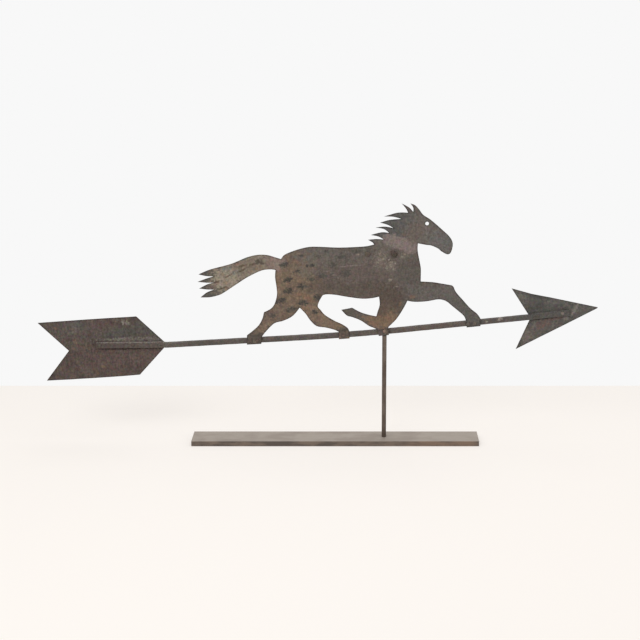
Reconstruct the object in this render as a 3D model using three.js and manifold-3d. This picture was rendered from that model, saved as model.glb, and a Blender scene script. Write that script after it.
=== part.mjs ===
// Horse weathervane on a display stand.
// A trotting horse cut from sheet iron is riveted to the front of a square bar that is forged flat at both
// ends, where it carries a fletched tail and a barbed arrowhead. The vane turns on a spindle, the turned-down
// top of a round rod that stands in a flat steel bar.
//
// Millimetres, +Z up, +X towards the arrowhead, the viewer at -Y. The origin is the centre of the base bar's
// underside. Everything on the vane is placed from the spindle axis and from the bar's centre line.
import * as THREE from 'three';
import { mergeVertices } from 'three/addons/utils/BufferGeometryUtils.js';
import Module from 'manifold-3d';

const wasm = await Module();
wasm.setup();

const inch = 25.4;
const degree = Math.PI / 180;

// Fits
const GAP = 0.3; // between faces that touch on the real object
const RUNNING_CLEARANCE = 0.3; // round the spindle, on the radius
const OVERRUN = 5; // how far a cutter runs past what it cuts

// Facets
const ROUND_SIDES = 24;
const RIVET_SIDES = 16;
const DOME_STEPS = 4;
const SPLINE_STEPS = 4; // between two points of a curved outline
const BEND_STEPS = 10;
const TAIL_BEND_STEPS = 2;

// Base bar
const BASE_LENGTH = 20.5 * inch;
const BASE_DEPTH = 2 * inch;
const BASE_THICKNESS = 0.375 * inch;
const BASE_EDGE = 0.6;

// Stand rod and its spindle
const ROD_X = 88.5; // from the middle of the base bar
const ROD_DIAMETER = 0.3125 * inch;
const ROD_SOCKET_DEPTH = 4;
const ROD_EDGE = 0.5;
const ROD_THREAD_DEPTH = 16;
const SPINDLE_DIAMETER = 4.8;
const SPINDLE_STAND_OUT = 5; // above the strap
const SPINDLE_POINT = 1.6;
const KEEPER_GROOVE_DEPTH = 0.75;

// Base screw, countersunk from below
const SCREW_DIAMETER = 5;
const SCREW_HEAD_DIAMETER = 9.4;
const SCREW_HEAD_HEIGHT = 2.6;
const SCREW_LENGTH = 17;
const SCREW_RECESS = 0.5; // below flush
const SCREW_SLOT_WIDTH = 1.2;
const SCREW_SLOT_DEPTH = 1.2;

// Arrow shaft: one square bar, bent twice and beaten flat at the ends
const VANE_HEIGHT = 200.3; // bar's centre line above the base bar's top, at the spindle
const BAR_SIZE = 9;
const BAR_EDGE = 0.7;
const TAIL_REACH = 516; // spindle to the tail end of the bar
const HEAD_REACH = 329;
const TAIL_FLAT_RISE = 0.6 * degree;
const TAIL_ARM_RISE = 3.3 * degree;
const HEAD_ARM_RISE = 5.9 * degree;
const TAIL_BEND_REACH = 392; // spindle to the bend
const TAIL_BEND_HALF = 10;
const MIDDLE_BEND_REACH = 60;
const MIDDLE_BEND_HALF = 95;
const FLAT_WIDTH = 11.4;
const FLAT_THICKNESS = 3.6;
const FLAT_TAPER = 9; // length over which square becomes flat

// Fletching plate, behind the bar
const FLETCHING_LENGTH = 224.7; // to its lower point
const FLETCHING_UPPER_STAND_OUT = 1.8; // of its upper point past the lower
const FLETCHING_UPPER_HALF = 55.3; // middle line to its upper edge
const FLETCHING_LOWER_HALF = 53.7;
const FLETCHING_BELLY = 0.9; // how far its lower edge swells
const FLETCHING_NOTCH = 47.2;
const FLETCHING_UPPER_SHOULDER = 49.8;
const FLETCHING_LOWER_SHOULDER = 55.2;
const FLETCHING_THICKNESS = 1.6;
const FLETCHING_RISE = 3.9 * degree;
const FLETCHING_LAP = 126.5; // how far the bar lies on the plate
const FLETCHING_LIFT = -0.75;

// Arrowhead plate, behind the bar
const ARROWHEAD_LENGTH = 150.4; // its upper barb to its tip
const ARROWHEAD_UPPER_HALF = 55.2; // middle line to the upper barb
const ARROWHEAD_LOWER_HALF = 57.8;
const ARROWHEAD_UPPER_NOTCH = 26.9;
const ARROWHEAD_LOWER_NOTCH = 30.8;
const ARROWHEAD_APEX_IN = 0.9; // its notches' apex from where the lap starts
const ARROWHEAD_APEX_DROP = 3.3; // below the middle line
const ARROWHEAD_DIP_SHARE = [0.049, 0.727]; // of its length and upper half, where the upper edge dips
const ARROWHEAD_THICKNESS = 1.6;
const ARROWHEAD_RISE = 7.6 * degree;
const ARROWHEAD_LAP = 70;
const ARROWHEAD_LIFT = -0.1;

// Horse plate, in front of the bar
const HORSE_LENGTH = 444; // tail strands to nose
const HORSE_HEIGHT = 227; // bar's centre line to the ear's tip
const HORSE_THICKNESS = 1.6;
const EYE_DIAMETER = 6.5;
const HOOF_HANG = 1.65; // hooves below the bar's underside
const KNEE_HANG = 0.4;

// Pivot collar, folded under the bar and the knee
const COLLAR_REAR_REACH = 11; // spindle to the collar's tail side
const COLLAR_FRONT_REACH = 7.3;
const COLLAR_THICKNESS = 1.2;
const COLLAR_BEND = 2.2; // outer radius of its folds

// Bearing strap, round the spindle at the shoulder
const STRAP_WIDTH = 12;
const STRAP_THICKNESS = 2;
const STRAP_END = 6; // past the rivet's centre
const STRAP_FILLET = 2;

// Rivets and keeper screw
const RIVET_DIAMETER = 3.6;
const RIVET_CLEARANCE = 0.3; // round the shank, on the radius
const RIVET_HEAD_DIAMETER = 6.4;
const RIVET_HEAD_HEIGHT = 1.7;
const RIVET_TAIL_DIAMETER = 5.6;
const RIVET_TAIL_HEIGHT = 1;
const SHOULDER_HEAD_DIAMETER = 9.6;
const SHOULDER_HEAD_HEIGHT = 2.2;
const KEEPER_DIAMETER = 3;
const KEEPER_HEAD_DIAMETER = 8.6;
const KEEPER_HEAD_HEIGHT = 2.6;
const KEEPER_TIP_DIAMETER = 2.2;
const COLLAR_RIVET_DIAMETER = 2.6;

// Where the rivets sit, from the end of the bar or from the spindle
const TAIL_RIVET_FROM_END = [6, 66, 113.5];
const HEAD_RIVET_FROM_END = [13, 56.5];
const FRONT_HOOF_RIVET_SHARES = [0.3333, 0.3592]; // of HORSE_LENGTH, as the outline's
const MIDDLE_HOOF_RIVET_SHARES = [-0.1655];
const REAR_HOOF_RIVET_SHARES = [-0.5372, -0.5101];
const COLLAR_RIVET_REACH = -7.4;
const KEEPER_REACH = 1;
const KEEPER_RISE = 1.8; // above the bar's centre line at the spindle
const SHOULDER_RIVET_REACH = [-31, 15.4];
const SHOULDER_HEIGHT_SHARE = 0.629; // of HORSE_HEIGHT above the bar's centre line at the spindle

// The horse's outline, clockwise from the lowest tail strand. Each point is a share of HORSE_LENGTH from the
// spindle axis and a share of HORSE_HEIGHT above the bar's centre line at that place, so the horse stands on
// the bar whatever its bends. A curve runs smoothly through its points and a line goes straight to each.
const HOOF_SHARE = -(BAR_SIZE / 2 + HOOF_HANG) / HORSE_HEIGHT;
const KNEE_SHARE = -(BAR_SIZE / 2 - KNEE_HANG) / HORSE_HEIGHT;
const HORSE_START_SHARE = [-0.733, 0.378];
const HORSE_OUTLINE_SHARES = [
  // tail strands and their notches
  { curve: [[-0.707, 0.415], [-0.678, 0.435]] },
  { curve: [[-0.706, 0.439], [-0.737, 0.450]] },
  { curve: [[-0.704, 0.480], [-0.675, 0.491]] },
  { curve: [[-0.704, 0.493], [-0.742, 0.504]] },
  { curve: [[-0.708, 0.526], [-0.678, 0.541]] },
  { curve: [[-0.708, 0.547], [-0.738, 0.563]] },
  // top of the tail and the back
  { curve: [[-0.693, 0.596], [-0.617, 0.628], [-0.582, 0.650], [-0.545, 0.677], [-0.505, 0.691],
    [-0.466, 0.686], [-0.433, 0.664], [-0.411, 0.648]] },
  { curve: [[-0.396, 0.680], [-0.355, 0.710], [-0.304, 0.730], [-0.260, 0.727], [-0.189, 0.711],
    [-0.130, 0.705], [-0.075, 0.703], [-0.043, 0.712]] },
  // mane locks, from the withers up
  { curve: [[-0.050, 0.730], [-0.067, 0.753]] },
  { curve: [[-0.035, 0.753], [-0.005, 0.744]] },
  { curve: [[-0.026, 0.771], [-0.056, 0.789]] },
  { curve: [[-0.014, 0.802], [0.016, 0.792]] },
  { curve: [[-0.005, 0.826], [-0.037, 0.844]] },
  { curve: [[-0.001, 0.844], [0.033, 0.826]] },
  { curve: [[0.009, 0.857], [-0.020, 0.879]] },
  { curve: [[0.017, 0.893], [0.064, 0.892]] },
  { curve: [[0.030, 0.916], [-0.004, 0.924]] },
  { curve: [[0.041, 0.942], [0.065, 0.942], [0.089, 0.935]] },
  // forelock, ear and the front of the head
  { curve: [[0.080, 0.971], [0.064, 1.012]] },
  { curve: [[0.093, 0.975], [0.109, 0.938]] },
  { curve: [[0.109, 0.970], [0.098, 1.005]] },
  { curve: [[0.116, 0.988], [0.132, 0.952], [0.149, 0.906], [0.180, 0.859], [0.225, 0.773], [0.252, 0.717],
    [0.266, 0.661], [0.260, 0.594], [0.246, 0.578], [0.223, 0.605], [0.208, 0.632], [0.183, 0.659],
    [0.161, 0.670], [0.129, 0.688]] },
  // chest
  { curve: [[0.128, 0.651], [0.130, 0.610], [0.138, 0.531], [0.142, 0.480], [0.142, 0.382]] },
  // reaching foreleg
  { curve: [[0.189, 0.367], [0.219, 0.352], [0.265, 0.327]] },
  { curve: [[0.273, 0.312], [0.283, 0.269], [0.314, 0.192], [0.341, 0.127], [0.369, 0.076], [0.383, 0.034]] },
  { line: [[0.384, HOOF_SHARE], [0.329, HOOF_SHARE], [0.325, 0.030]] },
  { curve: [[0.319, 0.061], [0.307, 0.090], [0.269, 0.160], [0.248, 0.199], [0.228, 0.219], [0.207, 0.225],
    [0.172, 0.219], [0.138, 0.220], [0.113, 0.226], [0.090, 0.238]] },
  // folded foreleg: its front, the knee in the collar, the shin and hoof, and its rear
  { curve: [[0.076, 0.184], [0.048, 0.101], [0.0155, 0.040]] },
  { line: [[0.0155, KNEE_SHARE], [-0.022, KNEE_SHARE], [-0.030, 0.028]] },
  { curve: [[-0.044, 0.044], [-0.062, 0.062], [-0.096, 0.113], [-0.130, 0.146], [-0.151, 0.162],
    [-0.173, 0.211]] },
  { curve: [[-0.151, 0.216], [-0.130, 0.221]] },
  { curve: [[-0.096, 0.179], [-0.061, 0.151], [-0.033, 0.135]] },
  { curve: [[-0.029, 0.166], [-0.020, 0.226], [-0.023, 0.293]] },
  // belly
  { curve: [[-0.051, 0.286], [-0.089, 0.288], [-0.144, 0.310], [-0.199, 0.337], [-0.238, 0.344],
    [-0.252, 0.324], [-0.267, 0.258], [-0.255, 0.219], [-0.237, 0.176], [-0.200, 0.125], [-0.172, 0.095],
    [-0.149, 0.061], [-0.141, 0.030]] },
  // middle hoof and the rear of its leg
  { line: [[-0.140, HOOF_SHARE], [-0.183, HOOF_SHARE], [-0.184, 0.034]] },
  { curve: [[-0.201, 0.053], [-0.236, 0.076], [-0.272, 0.093], [-0.297, 0.142], [-0.315, 0.197],
    [-0.339, 0.251]] },
  // rearmost leg
  { curve: [[-0.354, 0.213], [-0.374, 0.178], [-0.407, 0.151], [-0.442, 0.134], [-0.476, 0.071],
    [-0.491, 0.034]] },
  { line: [[-0.495, HOOF_SHARE], [-0.553, HOOF_SHARE], [-0.552, 0.049]] },
  { curve: [[-0.527, 0.085], [-0.504, 0.126], [-0.489, 0.177], [-0.482, 0.229]] },
  { curve: [[-0.455, 0.254], [-0.439, 0.293], [-0.429, 0.363], [-0.430, 0.425], [-0.435, 0.506],
    [-0.433, 0.564]] },
  // underside of the tail
  { curve: [[-0.451, 0.571], [-0.481, 0.569], [-0.512, 0.549], [-0.553, 0.510], [-0.595, 0.460],
    [-0.634, 0.413], [-0.658, 0.390], [-0.695, 0.376], [-0.733, 0.378]] },
];
const EYE_SHARE = [0.164, 0.836];

// Finishes
const finish = (name, color, roughness, metalness) =>
  Object.assign(new THREE.MeshStandardMaterial({ color, roughness, metalness }), { name });
const FINISHES = {
  groundSteel: () => finish('ground_steel', 0x8f8577, 0.5, 0.6),
  rodSteel: () => finish('rod_steel', 0x6f665f, 0.45, 0.7),
  horseIron: () => finish('horse_iron', 0x5a4d42, 0.8, 0.2),
  barIron: () => finish('bar_iron', 0x57504c, 0.75, 0.3),
  tailIron: () => finish('tail_iron', 0x4f4440, 0.85, 0.2),
  headIron: () => finish('head_iron', 0x4f4946, 0.85, 0.2),
  rivetIron: () => finish('rivet_iron', 0x5f4a40, 0.8, 0.3),
};

// The bar's centre line: its height over the spindle at a distance x from the spindle axis, as straight arms
// joined by two gentle bends
function bendHeight(x, corner, half, change) {
  const into = x - corner + half;
  if (into <= 0) return 0;
  return into >= 2 * half ? change * (x - corner) : (change * into * into) / (4 * half);
}

function unsetRise(x) {
  const flat = Math.tan(TAIL_FLAT_RISE);
  const tail = Math.tan(TAIL_ARM_RISE);
  const head = Math.tan(HEAD_ARM_RISE);
  return flat * x
    + bendHeight(x, -TAIL_BEND_REACH, TAIL_BEND_HALF, tail - flat)
    + bendHeight(x, -MIDDLE_BEND_REACH, MIDDLE_BEND_HALF, head - tail);
}

const barRise = (x) => unsetRise(x) - unsetRise(0);

function barAngle(x) {
  const step = BAR_SIZE / 2;
  return Math.atan2(barRise(x + step) - barRise(x - step), 2 * step);
}

// Cutting: a geometry becomes a solid, loses what its cutters cover, and comes back as a geometry
function toSolid(geometry) {
  const bare = geometry.clone();
  for (const name of Object.keys(bare.attributes)) {
    if (name !== 'position') bare.deleteAttribute(name);
  }
  const merged = mergeVertices(bare);
  return new wasm.Manifold(new wasm.Mesh({
    numProp: 3,
    vertProperties: new Float32Array(merged.attributes.position.array),
    triVerts: new Uint32Array(merged.index.array),
  }));
}

function toGeometry(solid) {
  const mesh = solid.getMesh();
  const geometry = new THREE.BufferGeometry();
  geometry.setAttribute('position', new THREE.BufferAttribute(mesh.vertProperties, 3));
  geometry.setIndex(new THREE.BufferAttribute(mesh.triVerts, 1));
  geometry.computeVertexNormals();
  return geometry;
}

const cut = (geometry, cutters) =>
  toGeometry(cutters.reduce((solid, cutter) => solid.subtract(toSolid(cutter)), toSolid(geometry)));

// Shapes drawn in X and Z, with their thickness running from y = back forwards to the viewer
function plate(shape, thickness, back) {
  const geometry = new THREE.ExtrudeGeometry(shape, {
    depth: thickness, bevelEnabled: false, curveSegments: SPLINE_STEPS,
  });
  return geometry.rotateX(Math.PI / 2).translate(0, back, 0);
}

function roundCutter(diameter, x, z) {
  const length = 2 * (BAR_SIZE + OVERRUN);
  return new THREE.CylinderGeometry(diameter / 2, diameter / 2, length, ROUND_SIDES).translate(x, 0, z);
}

function uprightCutter(diameter, bottom, top) {
  const height = top - bottom;
  return new THREE.CylinderGeometry(diameter / 2, diameter / 2, height, ROUND_SIDES)
    .rotateX(Math.PI / 2).translate(0, 0, bottom + height / 2);
}

const turned = (profile, sides) =>
  new THREE.LatheGeometry(profile.map(([radius, along]) => new THREE.Vector2(radius, along)), sides);

function dome(radius, height, seat, steps) {
  const points = [];
  for (let i = 0; i <= steps; i += 1) {
    const a = (i / steps) * (Math.PI / 2);
    points.push([radius * Math.sin(a), seat - height * Math.cos(a)]);
  }
  return points;
}

// Everything on the vane that is placed along the bar
const BAR_FRONT = -BAR_SIZE / 2;
const BAR_BACK = BAR_SIZE / 2;
const SHOULDER_HEIGHT = SHOULDER_HEIGHT_SHARE * HORSE_HEIGHT;
const FLAT_FRONT = BAR_BACK - FLAT_THICKNESS;
const HORSE_BACK = BAR_FRONT - GAP;
const HORSE_FRONT = HORSE_BACK - HORSE_THICKNESS;
const FLETCHING_BACK = BAR_BACK + GAP + FLETCHING_THICKNESS;
const ARROWHEAD_BACK = BAR_BACK + GAP + ARROWHEAD_THICKNESS;
const RIVET_HOLE = RIVET_DIAMETER + 2 * RIVET_CLEARANCE;
const TAIL_RIVET_PLACES = TAIL_RIVET_FROM_END.map((distance) => distance - TAIL_REACH);
const HEAD_RIVET_PLACES = HEAD_RIVET_FROM_END.map((distance) => HEAD_REACH - distance);
const alongHorse = (shares) => shares.map((share) => share * HORSE_LENGTH);
const FRONT_HOOF_RIVET_PLACES = alongHorse(FRONT_HOOF_RIVET_SHARES);
const MIDDLE_HOOF_RIVET_PLACES = alongHorse(MIDDLE_HOOF_RIVET_SHARES);
const REAR_HOOF_RIVET_PLACES = alongHorse(REAR_HOOF_RIVET_SHARES);
const HOOF_RIVET_PLACES = [
  ...FRONT_HOOF_RIVET_PLACES, ...MIDDLE_HOOF_RIVET_PLACES, ...REAR_HOOF_RIVET_PLACES,
];
const BASE_TOP = BASE_THICKNESS;
const PIVOT_HEIGHT = BASE_TOP + VANE_HEIGHT;

// Base bar with the rod's socket, the screw's hole and its countersink
function baseBar() {
  const shape = new THREE.Shape();
  const halfDepth = BASE_DEPTH / 2;
  shape.moveTo(-halfDepth + BASE_EDGE, 0);
  shape.lineTo(halfDepth - BASE_EDGE, 0);
  shape.lineTo(halfDepth, BASE_EDGE);
  shape.lineTo(halfDepth, BASE_THICKNESS - BASE_EDGE);
  shape.lineTo(halfDepth - BASE_EDGE, BASE_THICKNESS);
  shape.lineTo(-halfDepth + BASE_EDGE, BASE_THICKNESS);
  shape.lineTo(-halfDepth, BASE_THICKNESS - BASE_EDGE);
  shape.lineTo(-halfDepth, BASE_EDGE);
  const bar = new THREE.ExtrudeGeometry(shape, { depth: BASE_LENGTH, bevelEnabled: false });
  bar.rotateX(Math.PI / 2).rotateZ(Math.PI / 2).translate(-BASE_LENGTH / 2, 0, 0);
  const socketFloor = BASE_TOP - ROD_SOCKET_DEPTH;
  const headTop = SCREW_RECESS + SCREW_HEAD_HEIGHT;
  const slack = 2 * GAP;
  const headRadius = (SCREW_HEAD_DIAMETER + slack) / 2;
  const shankRadius = (SCREW_DIAMETER + slack) / 2;
  const screwHole = turned([
    [0, -OVERRUN], [headRadius, -OVERRUN], [headRadius, SCREW_RECESS], [shankRadius, headTop],
    [shankRadius, socketFloor + OVERRUN], [0, socketFloor + OVERRUN],
  ], ROUND_SIDES).rotateX(Math.PI / 2);
  const socket = uprightCutter(ROD_DIAMETER + slack, socketFloor, BASE_TOP + OVERRUN);
  return cut(bar, [screwHole.translate(ROD_X, 0, 0), socket.translate(ROD_X, 0, 0)]);
}

// Rod with its tapped foot, its shoulder under the collar, and the spindle with the keeper's groove
function standRod() {
  const radius = ROD_DIAMETER / 2;
  const spindle = SPINDLE_DIAMETER / 2;
  const groove = spindle - KEEPER_GROOVE_DEPTH;
  const grooveHalf = KEEPER_TIP_DIAMETER / 2 + RUNNING_CLEARANCE;
  const grooveLow = PIVOT_HEIGHT + KEEPER_RISE - grooveHalf;
  const grooveHigh = PIVOT_HEIGHT + KEEPER_RISE + grooveHalf;
  const foot = BASE_TOP - ROD_SOCKET_DEPTH + GAP;
  const shoulder = PIVOT_HEIGHT + collarUnderside() - GAP;
  const strapTop = PIVOT_HEIGHT + SHOULDER_HEIGHT + STRAP_WIDTH / 2;
  const top = strapTop + SPINDLE_STAND_OUT;
  const rod = turned([
    [0, foot], [radius - ROD_EDGE, foot], [radius, foot + ROD_EDGE], [radius, shoulder - ROD_EDGE],
    [radius - ROD_EDGE, shoulder], [spindle, shoulder],
    [spindle, grooveLow - KEEPER_GROOVE_DEPTH], [groove, grooveLow],
    [groove, grooveHigh], [spindle, grooveHigh + KEEPER_GROOVE_DEPTH],
    [spindle, top - SPINDLE_POINT], [spindle / 2, top], [0, top],
  ], ROUND_SIDES).rotateX(Math.PI / 2);
  const thread = uprightCutter(SCREW_DIAMETER + 2 * GAP, foot - OVERRUN, foot + ROD_THREAD_DEPTH);
  return cut(rod, [thread]);
}

// Countersunk screw with its slot
function baseScrew() {
  const head = SCREW_HEAD_DIAMETER / 2;
  const shank = SCREW_DIAMETER / 2;
  const under = SCREW_RECESS + SCREW_HEAD_HEIGHT;
  const tip = SCREW_RECESS + SCREW_LENGTH;
  const screw = turned([
    [0, SCREW_RECESS], [head, SCREW_RECESS], [shank, under], [shank, tip - shank / 2], [shank / 2, tip],
    [0, tip],
  ], ROUND_SIDES).rotateX(Math.PI / 2);
  const slot = new THREE.BoxGeometry(SCREW_HEAD_DIAMETER + OVERRUN, SCREW_SLOT_WIDTH, 2 * SCREW_SLOT_DEPTH);
  return cut(screw, [slot.translate(0, 0, SCREW_RECESS)]);
}

// Arrow shaft: sections along the centre line, with broken edges. Over the plates the bar goes from square to
// flat, and its back face stays where it is.
function flatness(x) {
  const intoTail = (FLETCHING_LAP - TAIL_REACH - x) / FLAT_TAPER;
  const intoHead = (x - HEAD_REACH + ARROWHEAD_LAP) / FLAT_TAPER;
  return Math.min(1, Math.max(0, intoTail, intoHead));
}

function shaftStations() {
  const tailSquare = FLETCHING_LAP - TAIL_REACH;
  const headSquare = HEAD_REACH - ARROWHEAD_LAP;
  const tailBendStart = -TAIL_BEND_REACH - TAIL_BEND_HALF;
  const bendStart = -MIDDLE_BEND_REACH - MIDDLE_BEND_HALF;
  const stations = [
    -TAIL_REACH, tailSquare - FLAT_TAPER, tailSquare, headSquare, headSquare + FLAT_TAPER, HEAD_REACH,
  ];
  for (let i = 0; i <= BEND_STEPS; i += 1) {
    stations.push(bendStart + (2 * MIDDLE_BEND_HALF * i) / BEND_STEPS);
  }
  for (let i = 0; i <= TAIL_BEND_STEPS; i += 1) {
    stations.push(tailBendStart + (2 * TAIL_BEND_HALF * i) / TAIL_BEND_STEPS);
  }
  return [...new Set(stations)].sort((a, b) => a - b);
}

function section(x) {
  const halfWidth = (BAR_SIZE + (FLAT_WIDTH - BAR_SIZE) * flatness(x)) / 2;
  const halfDepth = (BAR_SIZE + (FLAT_THICKNESS - BAR_SIZE) * flatness(x)) / 2;
  const middle = BAR_BACK - halfDepth;
  const angle = barAngle(x);
  const corners = [];
  for (const [side, level] of [[-1, -1], [1, -1], [1, 1], [-1, 1]]) {
    const first = side * level > 0;
    const alongY = [middle + side * (halfDepth - BAR_EDGE), level * halfWidth];
    const alongZ = [middle + side * halfDepth, level * (halfWidth - BAR_EDGE)];
    corners.push(...(first ? [alongZ, alongY] : [alongY, alongZ]));
  }
  return corners.map(([y, up]) => [x - up * Math.sin(angle), y, barRise(x) + up * Math.cos(angle)]);
}

function loft(rings) {
  const count = rings[0].length;
  const index = [];
  rings.slice(1).forEach((_, ring) => {
    for (let i = 0; i < count; i += 1) {
      const a = ring * count + i;
      const b = ring * count + ((i + 1) % count);
      index.push(a, b, a + count, b, b + count, a + count);
    }
  });
  const last = (rings.length - 1) * count;
  for (let i = 1; i < count - 1; i += 1) {
    index.push(0, i + 1, i);
    index.push(last, last + i, last + i + 1);
  }
  const geometry = new THREE.BufferGeometry();
  geometry.setAttribute('position', new THREE.Float32BufferAttribute(rings.flat(2), 3));
  geometry.setIndex(index);
  return geometry;
}

const spindleCutter = () =>
  uprightCutter(SPINDLE_DIAMETER + 2 * RUNNING_CLEARANCE, -BAR_SIZE - OVERRUN, BAR_SIZE + OVERRUN);

function arrowShaft() {
  const rings = shaftStations().map(section);
  const rivetHoles = [...TAIL_RIVET_PLACES, ...HEAD_RIVET_PLACES, ...HOOF_RIVET_PLACES]
    .map((x) => roundCutter(RIVET_HOLE, x, barRise(x)));
  const collarHole = roundCutter(COLLAR_RIVET_DIAMETER + 2 * RIVET_CLEARANCE,
    COLLAR_RIVET_REACH, barRise(COLLAR_RIVET_REACH));
  const keeperHole = keeperCutter(KEEPER_DIAMETER + 2 * GAP);
  return cut(loft(rings), [...rivetHoles, collarHole, keeperHole, spindleCutter()]);
}

// The keeper screw's hole, from the front as far as the spindle axis
function keeperCutter(diameter) {
  const length = BAR_SIZE + OVERRUN;
  return new THREE.CylinderGeometry(diameter / 2, diameter / 2, length, ROUND_SIDES)
    .translate(KEEPER_REACH, -length / 2, KEEPER_RISE);
}

// A plate set on the bar: turned to its rise and moved to its place on the centre line
const setOnBar = (geometry, x, lift, rise) =>
  geometry.rotateY(-rise).translate(x, 0, barRise(x) + lift);

function fletchingPlate() {
  const lower = -FLETCHING_LOWER_HALF;
  const shape = new THREE.Shape();
  shape.moveTo(0, 0);
  shape.lineTo(-FLETCHING_UPPER_SHOULDER, FLETCHING_UPPER_HALF);
  shape.lineTo(-FLETCHING_LENGTH - FLETCHING_UPPER_STAND_OUT, FLETCHING_UPPER_HALF);
  shape.lineTo(FLETCHING_NOTCH - FLETCHING_LENGTH, 0);
  shape.lineTo(-FLETCHING_LENGTH, lower);
  shape.quadraticCurveTo(-(FLETCHING_LENGTH + FLETCHING_LOWER_SHOULDER) / 2, lower - 2 * FLETCHING_BELLY,
    -FLETCHING_LOWER_SHOULDER, lower);
  const sheet = plate(shape, FLETCHING_THICKNESS, FLETCHING_BACK);
  const placed = setOnBar(sheet, FLETCHING_LAP - TAIL_REACH, FLETCHING_LIFT, FLETCHING_RISE);
  return cut(placed, TAIL_RIVET_PLACES.map((x) => roundCutter(RIVET_HOLE, x, barRise(x))));
}

function arrowheadPlate() {
  const [dipAlong, dipUp] = ARROWHEAD_DIP_SHARE;
  const shape = new THREE.Shape();
  shape.moveTo(ARROWHEAD_APEX_IN, -ARROWHEAD_APEX_DROP);
  shape.lineTo(-ARROWHEAD_LOWER_NOTCH, -ARROWHEAD_LOWER_HALF);
  shape.lineTo(ARROWHEAD_LENGTH - ARROWHEAD_UPPER_NOTCH, 0);
  shape.lineTo(dipAlong * ARROWHEAD_LENGTH, dipUp * ARROWHEAD_UPPER_HALF);
  shape.lineTo(-ARROWHEAD_UPPER_NOTCH, ARROWHEAD_UPPER_HALF);
  const sheet = plate(shape, ARROWHEAD_THICKNESS, ARROWHEAD_BACK);
  const placed = setOnBar(sheet, HEAD_REACH - ARROWHEAD_LAP, ARROWHEAD_LIFT, ARROWHEAD_RISE);
  return cut(placed, HEAD_RIVET_PLACES.map((x) => roundCutter(RIVET_HOLE, x, barRise(x))));
}

// Horse plate from its outline of curves and lines
function horsePoint([lengthShare, heightShare]) {
  const x = lengthShare * HORSE_LENGTH;
  return new THREE.Vector2(x, barRise(x) + heightShare * HORSE_HEIGHT);
}

function horsePlate() {
  const shape = new THREE.Shape();
  const start = horsePoint(HORSE_START_SHARE);
  shape.moveTo(start.x, start.y);
  for (const stroke of HORSE_OUTLINE_SHARES) {
    if (stroke.curve) shape.splineThru(stroke.curve.map(horsePoint));
    else stroke.line.map(horsePoint).forEach((point) => shape.lineTo(point.x, point.y));
  }
  const eye = horsePoint(EYE_SHARE);
  const sheet = plate(shape, HORSE_THICKNESS, HORSE_BACK);
  const hoofHoles = HOOF_RIVET_PLACES.map((x) => roundCutter(RIVET_HOLE, x, barRise(x)));
  const shoulderHoles = SHOULDER_RIVET_REACH.map((x) => roundCutter(RIVET_HOLE, x, SHOULDER_HEIGHT));
  const collarHole = roundCutter(COLLAR_RIVET_DIAMETER + 2 * RIVET_CLEARANCE,
    COLLAR_RIVET_REACH, barRise(COLLAR_RIVET_REACH));
  return cut(sheet, [...hoofHoles, ...shoulderHoles, collarHole, keeperCutter(KEEPER_DIAMETER + 2 * GAP),
    roundCutter(EYE_DIAMETER, eye.x, eye.y)]);
}

// Pivot collar: a strip folded under the bar, its front leaf over the horse's knee
const COLLAR_FRONT_INSIDE = HORSE_FRONT - GAP;
const COLLAR_BACK_INSIDE = BAR_BACK + GAP;

// How far the collar's lowest edge lies under the centre line at the spindle
function collarUnderside() {
  const fall = Math.tan(barAngle(0)) * (ROD_DIAMETER / 2);
  return -(BAR_SIZE / 2 + GAP + COLLAR_THICKNESS) / Math.cos(barAngle(0)) - fall;
}

function collarProfile(front, back, bottom, top, radius) {
  const shape = new THREE.Shape();
  shape.moveTo(front, top);
  shape.lineTo(front, bottom + radius);
  shape.absarc(front + radius, bottom + radius, radius, Math.PI, 1.5 * Math.PI, false);
  shape.lineTo(back - radius, bottom);
  shape.absarc(back - radius, bottom + radius, radius, 1.5 * Math.PI, 2 * Math.PI, false);
  shape.lineTo(back, top);
  return shape;
}

// A shape drawn in Y and Z, run along X
function along(shape, from, to) {
  const depth = to - from;
  return new THREE.ExtrudeGeometry(shape, { depth, bevelEnabled: false, curveSegments: DOME_STEPS })
    .rotateX(Math.PI / 2).rotateZ(Math.PI / 2).translate(from, 0, 0);
}

function pivotCollar() {
  const inner = -BAR_SIZE / 2 - GAP;
  const top = BAR_SIZE / 2;
  const outside = collarProfile(COLLAR_FRONT_INSIDE - COLLAR_THICKNESS, COLLAR_BACK_INSIDE + COLLAR_THICKNESS,
    inner - COLLAR_THICKNESS, top, COLLAR_BEND);
  const inside = collarProfile(COLLAR_FRONT_INSIDE, COLLAR_BACK_INSIDE, inner, top + OVERRUN,
    COLLAR_BEND - COLLAR_THICKNESS);
  const block = along(outside, -COLLAR_REAR_REACH, COLLAR_FRONT_REACH);
  const room = along(inside, -COLLAR_REAR_REACH - OVERRUN, COLLAR_FRONT_REACH + OVERRUN);
  const rivetHole = roundCutter(COLLAR_RIVET_DIAMETER + 2 * RIVET_CLEARANCE,
    COLLAR_RIVET_REACH, barRise(COLLAR_RIVET_REACH));
  return cut(block.rotateY(-barAngle(0)), [
    room.rotateY(-barAngle(0)), rivetHole, keeperCutter(KEEPER_DIAMETER + 2 * GAP), spindleCutter(),
  ]);
}

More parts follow.
